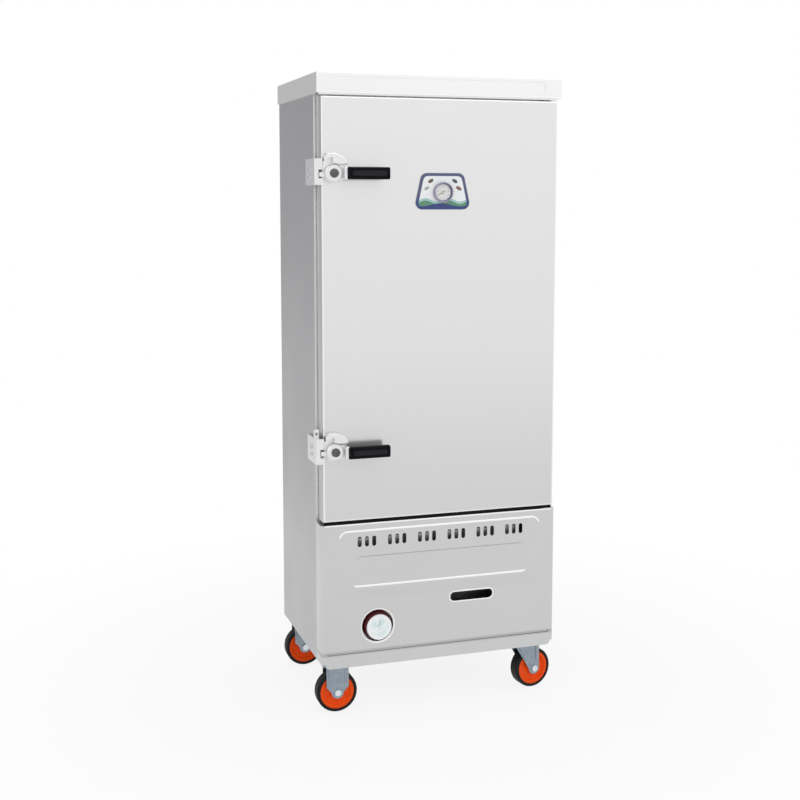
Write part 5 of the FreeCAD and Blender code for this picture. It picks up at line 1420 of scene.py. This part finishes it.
@dataclass
class Thermometer:
    """The dial thermometer on the door."""

    level: float = 1248.0
    floor: float = -4.0
    dial_radius: float = 21.4
    dial_front: float = -4.3
    marks: int = 25
    sweep: float = 240.0
    mark_end: float = 18.6
    figures: int = 7
    figure_step: int = 20
    figure_radius: float = 12.4
    figure_size: float = 4.0
    hub: Profile = ((1.35, -5.5), (2.5, -5.5), (2.4, -6.5), (1.7, -7.2), (0.0, -7.35), (0.0, -7.0),
                    (1.35, -6.95))
    bezel: Span = (21.6, 23.9)
    bezel_front: float = -9.5
    bezel_rise: float = 0.95

    def tick(self, name: str, length: float, width: float, steps: list[int]) -> Piece:
        """Makes one mark and copies it round the dial.

        Args:
            name: the piece's name.
            length: the mark's length.
            width: the mark's width.
            steps: which of the dial's marks it stands at.

        Returns:
            The joined marks.
        """
        top, half = self.level + self.mark_end, width / 2
        foot = top - length
        mark = Bench.block(name, (-half, self.dial_front - 0.12, foot), (half, self.dial_front + 0.1, top))
        Bench.pick(mark, "faces", lies_at(Axis.Z, foot, 0.01))
        bpy.ops.transform.resize(value=(0.6, 1.0, 1.0), center_override=at((0.0, self.dial_front, foot)))
        bpy.ops.object.mode_set(mode="OBJECT")
        step = math.radians(self.sweep / (self.marks - 1))
        turns = [step * (place - (self.marks - 1) / 2) for place in steps]
        Bench.around(mark, (0.0, 0.0, self.level), Axis.Y, [turn for turn in turns if abs(turn) > 0.001])
        return mark

    def numbers(self) -> Piece:
        """Makes the dial's numbers.

        Returns:
            The numbers as one piece.
        """
        made = []
        for index in range(self.figures):
            turn = math.radians(-self.sweep / 2 + index * self.sweep / (self.figures - 1))
            place = (self.figure_radius * math.sin(turn), self.dial_front - 0.04,
                     self.level + self.figure_radius * math.cos(turn))
            text = str(self.figure_step * index)
            made.append(Bench.words("dial_numbers", text, place, self.figure_size, 0.12))
        Bench.take(*made)
        bpy.ops.object.join()
        return made[0]

    def build(self, fitter: Fitter) -> None:
        """Dresses the thermometer, and adds its dial, marks, hub and bezel bead.

        Args:
            fitter: what dresses and fits the pieces.
        """
        fitter.dress(PLATE_PRINT, "gauge_plate")
        fitter.dress(BEZEL, "gauge_case")
        fitter.dress(LENS, "gauge_lens")
        fitter.dress(NEEDLE, "gauge_needle")
        back, front, edge = self.floor, self.dial_front, self.dial_radius
        dial = ((1.6, back), (1.6, front), (edge - 0.4, front), (edge, front + 0.1), (edge, back))
        fitter.fit(Bench.lathe("dial_face", 0.0, self.level, dial, 64), DIAL_PRINT, "door")
        every = range(self.marks)
        long_marks = [step for step in every if step % 4 == 0]
        short_marks = [step for step in every if step % 4] + [self.marks // 2]
        fitter.fit(self.tick("dial_marks_long", 3.4, 0.7, long_marks), PRINT_DARK, "door")
        fitter.fit(self.tick("dial_marks_short", 2.0, 0.4, short_marks), PRINT_DARK, "door")
        fitter.fit(self.numbers(), PRINT_DARK, "door")
        hub = Bench.lathe("needle_hub", 0.0, self.level, self.hub, 32)
        fitter.fit(hub, CHROME, "gauge_needle")
        y, (inner, outer) = self.bezel_front, self.bezel
        middle, half = (inner + outer) / 2, (outer - inner) / 2
        arch = [(middle + half * math.cos(a), y - self.bezel_rise * math.sin(a))
                for a in [math.pi * (1 - i / 6) for i in range(1, 6)]]
        bead = Bench.lathe("bezel_bead", 0.0, self.level, ((inner, y), *arch, (outer, y)), 64)
        fitter.fit(bead, BEZEL, "door")


@dataclass
class GasKnob:
    """The gas knob in its dish."""

    x: float = -161.0
    z: float = 213.0
    front: float = -13.0
    radius: float = 31.2
    flutes: int = 36
    flute_half: float = 0.8
    flute_rise: Span = (-2.0, 0.5)
    flute_run: Span = (1.2, 12.5)
    taper: Span = (6.0, 18.0)
    pointer_half: float = 0.9
    pointer_run: Span = (4.0, 20.0)
    ridge_front: float = -15.5
    rim: Profile = ((28.4, -12.0), (28.4, -13.6), (29.0, -14.0), (29.9, -13.8), (30.8, -12.6), (31.2, -11.0),
                    (30.4, -10.6))
    dish: Profile = ((43.8, 0.4), (43.4, -0.6), (42.0, -1.0), (39.5, -0.6), (37.6, 0.8), (37.4, 2.2),
                     (38.6, 2.2))

    def flute(self) -> Piece:
        """Makes the knob's flutes, which lean with its taper.

        Returns:
            The flutes as one piece.
        """
        x, z, top = self.x, self.z, self.z + self.radius
        flute = Bench.block("knob_flutes",
                            (x - self.flute_half, self.front + self.flute_run[0], top + self.flute_rise[0]),
                            (x + self.flute_half, self.front + self.flute_run[1], top + self.flute_rise[1]))
        Bench.turn(flute, (x, self.front, z + 30.0), Axis.X, math.atan2(*self.taper))
        Bench.soften(flute, 0.35)
        Bench.around(flute, (x, 0.0, z), Axis.Y, [math.tau * i / self.flutes for i in range(1, self.flutes)])
        return flute

    def build(self, fitter: Fitter) -> None:
        """Dresses the knob, and adds its flutes, its rim, the ring round it and its pointer line.

        Args:
            fitter: what dresses and fits the pieces.
        """
        fitter.dress(KNOB, "gas_knob")
        fitter.dress(KNOB_DISC, "knob_cap")
        fitter.dress(AXLE, "valve_stem")
        fitter.fit(self.flute(), KNOB, "gas_knob")
        # The dish ring and the knob's rim are made bright to paint the highlights round the knob.
        ring = Bench.lathe("dish_ring", self.x, self.z, self.dish, 72)
        fitter.fit(ring, SATIN_HIGHLIGHT, "cabinet")
        rim = Bench.lathe("knob_rim", self.x, self.z, self.rim, 72)
        fitter.fit(rim, SATIN_HIGHLIGHT, "gas_knob")
        half, (low, high) = self.pointer_half, self.pointer_run
        line = Bench.block("knob_pointer", (self.x - half, self.ridge_front - 0.25, self.z + low),
                           (self.x + half, self.ridge_front + 0.1, self.z + high), 0.2)
        fitter.fit(line, POINTER, "gas_knob")


@dataclass
class Latch:
    """One latch on the door and its catch on the cabinet."""

    name: str
    level: float
    pivot: float = -268.0
    bolt_face: float = -23.6
    dome: Profile = ((9.4, 0.6), (9.4, -0.5), (8.5, -1.3), (5.4, -1.8), (0.0, -1.9), (0.0, 0.6))
    grip_front: float = -43.0
    pad_start: float = -231.5
    pad_end: float = -149.5
    pad_half: float = 6.0
    pad_rise: float = 0.02

    def bolt_cap(self) -> Piece:
        """Makes the bolt's domed cap with a six-sided socket.

        Returns:
            The cap.
        """
        x, y, z = self.pivot, self.bolt_face, self.level
        dome = tuple((radius, y + along) for radius, along in self.dome)
        cap = Bench.lathe(f"bolt_cap_{self.name}", x, z, dome, 40)
        Bench.carve(cap, Bench.drum("socket", (x, y - 1.6, z), 3.6, 2.0, Axis.Y, 6))
        return cap

    def pad(self) -> Piece:
        """Makes the soft inlay, set flush in the grip's front, whose lighter colour paints the sheen along
        the grip's middle.

        Returns:
            The inlay.
        """
        low = (self.pad_start, self.grip_front - self.pad_rise, self.level - self.pad_half)
        high = (self.pad_end, self.grip_front + 0.3, self.level + self.pad_half)
        pad = Bench.block(f"grip_pad_{self.name}", low, high)
        Bench.round_off(pad, 5.0, 6, runs_along(Axis.Y, 0.2))
        return pad

    def build(self, fitter: Fitter) -> None:
        """Dresses the latch, and adds its bolt cap and grip inlay.

        Args:
            fitter: what dresses and fits the pieces.
        """
        fitter.dress(LATCH_CASTING, f"latch_lever_{self.name}")
        fitter.dress(GRIP, f"latch_grip_{self.name}")
        fitter.fit(self.bolt_cap(), LATCH_BOLT, "door")
        fitter.fit(self.pad(), GRIP_SHEEN_PAD, f"latch_{self.name}")


@dataclass
class Catches:
    """The screws of the two catches on the cabinet's side."""

    outer: float = -314.0
    setback: float = 28.0
    spacing: float = 8.5
    screw: PanHead = PanHead(5.0, 2.5, 28, 1.2, 2.6, 0.55, 1.2)
    levels: tuple[float, float] = (1291.0, 645.0)

    def build(self, fitter: Fitter) -> None:
        """Dresses the catches and housings, and makes the screws with crossed recesses.

        Args:
            fitter: what dresses and fits the pieces.
        """
        fitter.dress(LATCH_CASTING, "latch_strikes", "latch_housings")
        fitter.dress(LATCH_BOLT, "latch_bolts")
        foot = (self.outer, self.setback, self.levels[0] - self.spacing)
        head = self.screw.make("catch_screws", foot, Axis.X, -1)
        gap = self.levels[1] - self.levels[0]
        Bench.copies(head, [(0.0, 0.0, rise) for rise in (2 * self.spacing, gap, gap + 2 * self.spacing)])
        fitter.fit(head, BOLT, "cabinet")
        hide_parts("strike_screws")


@dataclass
class Casters:
    """The four casters: two rigid at the left, two swivelling at the right."""

    wheel_radius: float = 50.0
    hub: float = 13.0
    web: float = 10.0
    rib_reach: float = 31.5
    rib_width: float = 2.4
    rib_rise: float = 2.8
    ribs: int = 6
    plate_low: float = 125.0
    plate_end: float = 37.0
    bolt_along: float = 34.0
    bolt_across: float = 28.5
    turns: tuple[tuple[str, float], ...] = (("left", 0.0), ("right", 10.0))

    def rib(self, wheel: str, turn: float) -> Piece:
        """Makes the moulded ribs on both sides of one wheel's web, about the wheel's own axle.

        Args:
            wheel: the wheel's side and end.
            turn: how far the wheel stands turned about the upright, in degrees.

        Returns:
            The ribs as one piece.
        """
        low, high = part_box(f"wheel_core_{wheel}")
        x, y, middle = ((a + b) / 2 for a, b in zip(low, high))
        z, half = self.wheel_radius, self.rib_width / 2
        start, end = y + self.web - 0.3, y + self.web + self.rib_rise
        crest, long = at((0.0, end - 0.5, 0.0)).y, runs_along(Axis.Z, 5.0)
        rib = Bench.block(f"core_ribs_{wheel}", (x - half, start, z + self.hub - 0.6),
                          (x + half, end, z + self.rib_reach))
        Bench.round_off(rib, 0.8, 2, lambda place, run: long(place, run) and place.y > crest)
        Bench.around(rib, (x, y, z), Axis.Y, [math.tau * i / self.ribs for i in range(1, self.ribs)])
        Bench.around(rib, (x, y, z), Axis.Z, [math.pi])
        Bench.turn(rib, (x, y, middle), Axis.Z, math.radians(turn))
        return rib

    def plate_bolts(self) -> Piece:
        """Makes the flanged six-sided heads under the casters' plates.

        Returns:
            The bolts as one piece.
        """
        places = []
        for node in ("caster_brackets_left", "caster_plates_right"):
            low, high = part_box(node)
            x = (low[0] + high[0]) / 2
            for y in (low[1] + self.plate_end, high[1] - self.plate_end):
                places += [(x + a * self.bolt_along, y + b * self.bolt_across)
                           for a in (-1, 1) for b in (-1, 1)]
        x, y = places[0]
        bolts = Bench.drum("plate_bolts", (x, y, self.plate_low - 0.6), 7.6, 1.2, Axis.Z, 24)
        head = Bench.drum("plate_bolt_head", (x, y, self.plate_low - 2.9), 6.4, 3.6, Axis.Z, 6)
        Bench.soften(head, 0.5, 2, 30.0)
        Bench.take(bolts, head)
        bpy.ops.object.join()
        Bench.copies(bolts, [(place[0] - x, place[1] - y, 0.0) for place in places[1:]])
        return bolts

    def build(self, fitter: Fitter) -> None:
        """Dresses the casters, and adds their wheel ribs and plate bolts.

        Args:
            fitter: what dresses and fits the pieces.
        """
        fitter.dress(ZINC, "caster_brackets_left", "caster_plates_right", "caster_fork_right_front",
                     "caster_fork_right_rear")
        fitter.dress(NUT_ZINC, "caster_axles_left", "caster_axle_right_front", "caster_axle_right_rear")
        for side, turn in self.turns:
            for wheel in (f"{side}_front", f"{side}_rear"):
                fitter.dress(CORE, f"wheel_core_{wheel}")
                fitter.dress(TYRE, f"tyre_{wheel}")
                fitter.fit(self.rib(wheel, turn), CORE, f"wheel_{wheel}")
        fitter.fit(self.plate_bolts(), ZINC, "cabinet")


@dataclass
class Chamber:
    """The steaming chamber: liner, racks, trays and grid."""

    tray_half: float = 265.0
    tray_count: int = 12
    tray_pitch: float = 76.0
    bead: float = 1.6
    bead_rise: float = 1.2

    def build(self, fitter: Fitter) -> None:
        """Dresses the chamber, and rolls a bead round each tray's rim.

        Args:
            fitter: what dresses and fits the pieces.
        """
        fitter.dress(INNER_SHEET, "chamber_liner", "water_tank", "steam_grid", "fire_tubes")
        fitter.dress(RAIL, "tray_racks")
        fitter.dress(TRAY_SHEET, "trays")
        low, high = part_box("trays")
        bead = Bench.ring("tray_beads", (-self.tray_half, self.tray_half), (low[1], high[1]),
                          (high[2], high[2] + self.bead_rise), Axis.Z, 2 * self.bead, 20.0, 0.6)
        Bench.copies(bead, [(0.0, 0.0, -self.tray_pitch * i) for i in range(1, self.tray_count)])
        fitter.fit(bead, TRAY_SHEET, "cabinet")


@dataclass
class GasAndWater:
    """The burner, its gas line, and the pipes at the back."""

    back: float = 405.0
    unions: tuple[tuple[str, Span, float, float, Span], ...] = (
        ("gas_union", (-252.0, 213.0), 10.6, 15.5, (6.0, 16.0)),
        ("water_union", (200.0, 458.0), 10.1, 15.5, (4.0, 15.0)),
        ("drain_union", (246.0, 305.0), 10.6, 17.0, (26.0, 36.0)))
    beads: tuple[tuple[str, Span, float, float, float], ...] = (
        ("flue_bead", (0.0, 390.0), 45.0, 34.0, 1.6), ("steam_bead", (150.0, 1400.0), 12.6, 34.5, 1.1))
    sleeve: tuple[Point, Point] = ((182.6, 409.6, 326.2), (226.0, 425.4, 331.4))

    def nut(self, name: str, place: Span, bore: float, across: float, run: Span) -> Piece:
        """Makes a six-sided union nut round a pipe at the back.

        Args:
            name: the piece's name.
            place: the pipe's X and Z.
            bore: the hole's radius.
            across: the radius to the nut's corners.
            run: where it starts and ends behind the back panel.

        Returns:
            The nut.
        """
        start, end = self.back + run[0], self.back + run[1]
        middle = (place[0], (start + end) / 2, place[1])
        nut = Bench.drum(name, middle, across, end - start, Axis.Y, 6)
        Bench.carve(nut, Bench.drum("bore", middle, bore, end - start + 4, Axis.Y, 40))
        Bench.soften(nut, 0.5, 2, 35.0)
        return nut

    def bead(self, name: str, place: Span, radius: float, level: float, size: float) -> Piece:
        """Makes a rolled or welded bead round a pipe.

        Args:
            name: the piece's name.
            place: the pipe's X and Z.
            radius: to the bead's middle.
            level: how far it lies behind the back panel.
            size: half its thickness.

        Returns:
            The bead.
        """
        angles = [math.tau * i / 10 for i in range(10)]
        profile = [(radius + size * math.cos(a), self.back + level + size * math.sin(a)) for a in angles]
        return Bench.lathe(name, *place, tuple(profile), 64)

    def build(self, fitter: Fitter) -> None:
        """Dresses the burner and pipes, and adds nuts, beads and the drain lever's sleeve.

        Args:
            fitter: what dresses and fits the pieces.
        """
        fitter.dress(BURNER_IRON, "burners")
        fitter.dress(BRASS, "gas_valve", "gas_manifold", "float_arm", "drain_pipe", "water_inlet")
        fitter.dress(COPPER, "gas_pipe")
        fitter.dress(BASE_SHEET, "burner_shroud")
        fitter.dress(RAIL, "flue", "steam_vent")
        fitter.dress(AXLE, "drain_handle")
        for sizes in self.unions:
            fitter.fit(self.nut(*sizes), BRASS, "cabinet")
        for sizes in self.beads:
            fitter.fit(self.bead(*sizes), RAIL, "cabinet")
        sleeve = Bench.block("lever_sleeve", *self.sleeve, 1.6, 3)
        fitter.fit(sleeve, SLEEVE, "drain_handle")


# Studio

@dataclass
class Studio:
    """The pale floor, the soft lamps and the camera at the photograph's place."""

    camera_place: Point = (-1.021521, -3.034988, 1.232785)
    camera_turn: float = 17.928
    camera_down: float = 6.121
    lens: float = 57.13
    shift_y: float = -0.08125
    floor_reach: float = 3.4
    plain_light: float = 0.78
    white: Colour = (1.0, 1.0, 1.0)
    dim: Colour = (0.52, 0.52, 0.53)
    lamps: tuple[tuple[str, Point, Point, float, float], ...] = (
        ("lamp_front", (1.5, -3.2, 3.4), (0.0, 0.0, 0.8), 2.4, 14.0),
        ("lamp_left", (-3.2, -1.8, 2.4), (0.0, 0.0, 0.8), 2.2, 4.0),
        ("lamp_top", (0.2, -0.3, 3.9), (0.0, 0.0, 1.0), 2.0, 5.0),
    )

    def camera(self) -> None:
        """Sets the camera where the photograph was taken."""
        data = bpy.data.cameras.new("view")
        data.sensor_width = 36.0
        data.lens = self.lens
        data.shift_y = self.shift_y
        camera = bpy.data.objects.new("view", data)
        camera.location = self.camera_place
        camera.rotation_euler = (math.radians(90 - self.camera_down), 0.0, math.radians(-self.camera_turn))
        bpy.context.scene.collection.objects.link(camera)
        bpy.context.scene.camera = camera

    def light(self) -> None:
        """Hangs the soft lamps."""
        for name, place, aim, size, power in self.lamps:
            data = bpy.data.lights.new(name, "AREA")
            data.shape = "SQUARE"
            data.size = size
            data.energy = power
            lamp = bpy.data.objects.new(name, data)
            lamp.location = place
            lamp.rotation_euler = (Vector(aim) - Vector(place)).to_track_quat("-Z", "Y").to_euler()
            bpy.context.scene.collection.objects.link(lamp)

    def rays(self, graph: Graph) -> tuple[Socket, Socket]:
        """Tells which rays are looking.

        Args:
            graph: the nodes of the world or the floor.

        Returns:
            One for any ray but the camera's own, and one for a ray from the camera, metal or glass.
        """
        rays = graph.add("LightPath").outputs
        camera = rays["Is Camera Ray"]
        looking = graph.math("ADD", graph.math("ADD", camera, rays["Is Glossy Ray"]),
                             rays["Is Transmission Ray"], clamp=True)
        return graph.less(1.0, camera), looking

    def backdrop(self) -> None:
        """Sets a plain light, and a white ground that the camera, metal and glass see."""
        world = bpy.data.worlds.new("studio")
        world.use_nodes = True
        bpy.context.scene.world = world
        graph = Graph(world.node_tree)
        nodes = world.node_tree.nodes
        graph.join(nodes["Background"], {"Color": self.white, "Strength": self.plain_light})
        x, y, z = graph.parts(graph.add("TexCoord").outputs["Generated"])
        unseen, looking = self.rays(graph)
        behind = graph.times(graph.spread(x, -0.05, 0.25, 1.0, 0.0), graph.spread(y, -0.1, 0.5))
        shade = graph.times(graph.times(behind, graph.spread(z, -0.35, 0.10)), unseen)
        ground = graph.add("Background", {"Color": graph.blend(shade, self.white, self.dim), "Strength": 1.0})
        mixed = graph.add("MixShader", {0: looking, 1: nodes["Background"].outputs[0], 2: ground.outputs[0]})
        graph.join(nodes["World Output"], {"Surface": mixed.outputs[0]})

    def floor(self) -> None:
        """Lays the floor, which keeps a soft shadow near the cabinet and fades to white."""
        Bench.clear()
        bpy.ops.mesh.primitive_plane_add(size=2 * self.floor_reach, location=(0.0, 0.0, 0.0))
        floor = Bench.settle("floor")
        made = bpy.data.materials.new("pale_floor")
        made.use_nodes = True
        graph = Graph(made.node_tree)
        nodes = made.node_tree.nodes
        place = graph.place()
        mottled = graph.blend(graph.noise(place, 30.0), (0.84, 0.84, 0.84), (0.87, 0.87, 0.87))
        shader = nodes["Principled BSDF"]
        graph.join(shader, {"Base Color": mottled, "Roughness": 0.8, "Specular IOR Level": 0.0})
        far = graph.spread(graph.length(place), 0.5, 1.6, 0.86, 1.0)
        unseen, looking = self.rays(graph)
        behind = graph.spread(graph.parts(place)[1], 0.9, 3.4, 0.0, 0.45)
        tone = graph.blend(graph.times(behind, unseen), self.white, self.dim)
        white = graph.add("Emission", {"Color": tone, "Strength": 1.0}).outputs[0]
        mixed = graph.add("MixShader", {0: graph.times(far, looking), 1: shader.outputs[0], 2: white})
        graph.join(nodes["Material Output"], {"Surface": mixed.outputs[0]})
        floor.data.materials.append(made)
        floor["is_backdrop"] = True

    def build(self) -> None:
        """Sets up the whole studio."""
        self.camera()
        self.light()
        self.backdrop()
        self.floor()
        bpy.context.scene.view_settings.view_transform = "Standard"


def main(frame: dict[str, object], cad_box: tuple[Vector, Vector]) -> None:
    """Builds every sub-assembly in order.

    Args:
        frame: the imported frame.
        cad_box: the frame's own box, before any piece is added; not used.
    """
    logging.basicConfig(level=logging.INFO, format="%(name)s %(message)s")
    fitter = Fitter(frame)
    Studio().build()
    for part in (Casing(), LowerPanel(), DoorInside(), Thermometer(), GasKnob(), Latch("upper", 1291.0),
                 Latch("lower", 645.0), Catches(), Casters(), Chamber(), GasAndWater()):
        LOG.info("building %s", type(part).__name__)
        part.build(fitter)
    bare = sorted(set(fitter.nodes) - fitter.dressed - {"door_gasket", "strike_screws"})
    if bare:
        LOG.warning("not dressed: %s", ", ".join(bare))
    Bench.clear()


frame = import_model()
if __name__ == "__main__":
    main(frame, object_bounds())
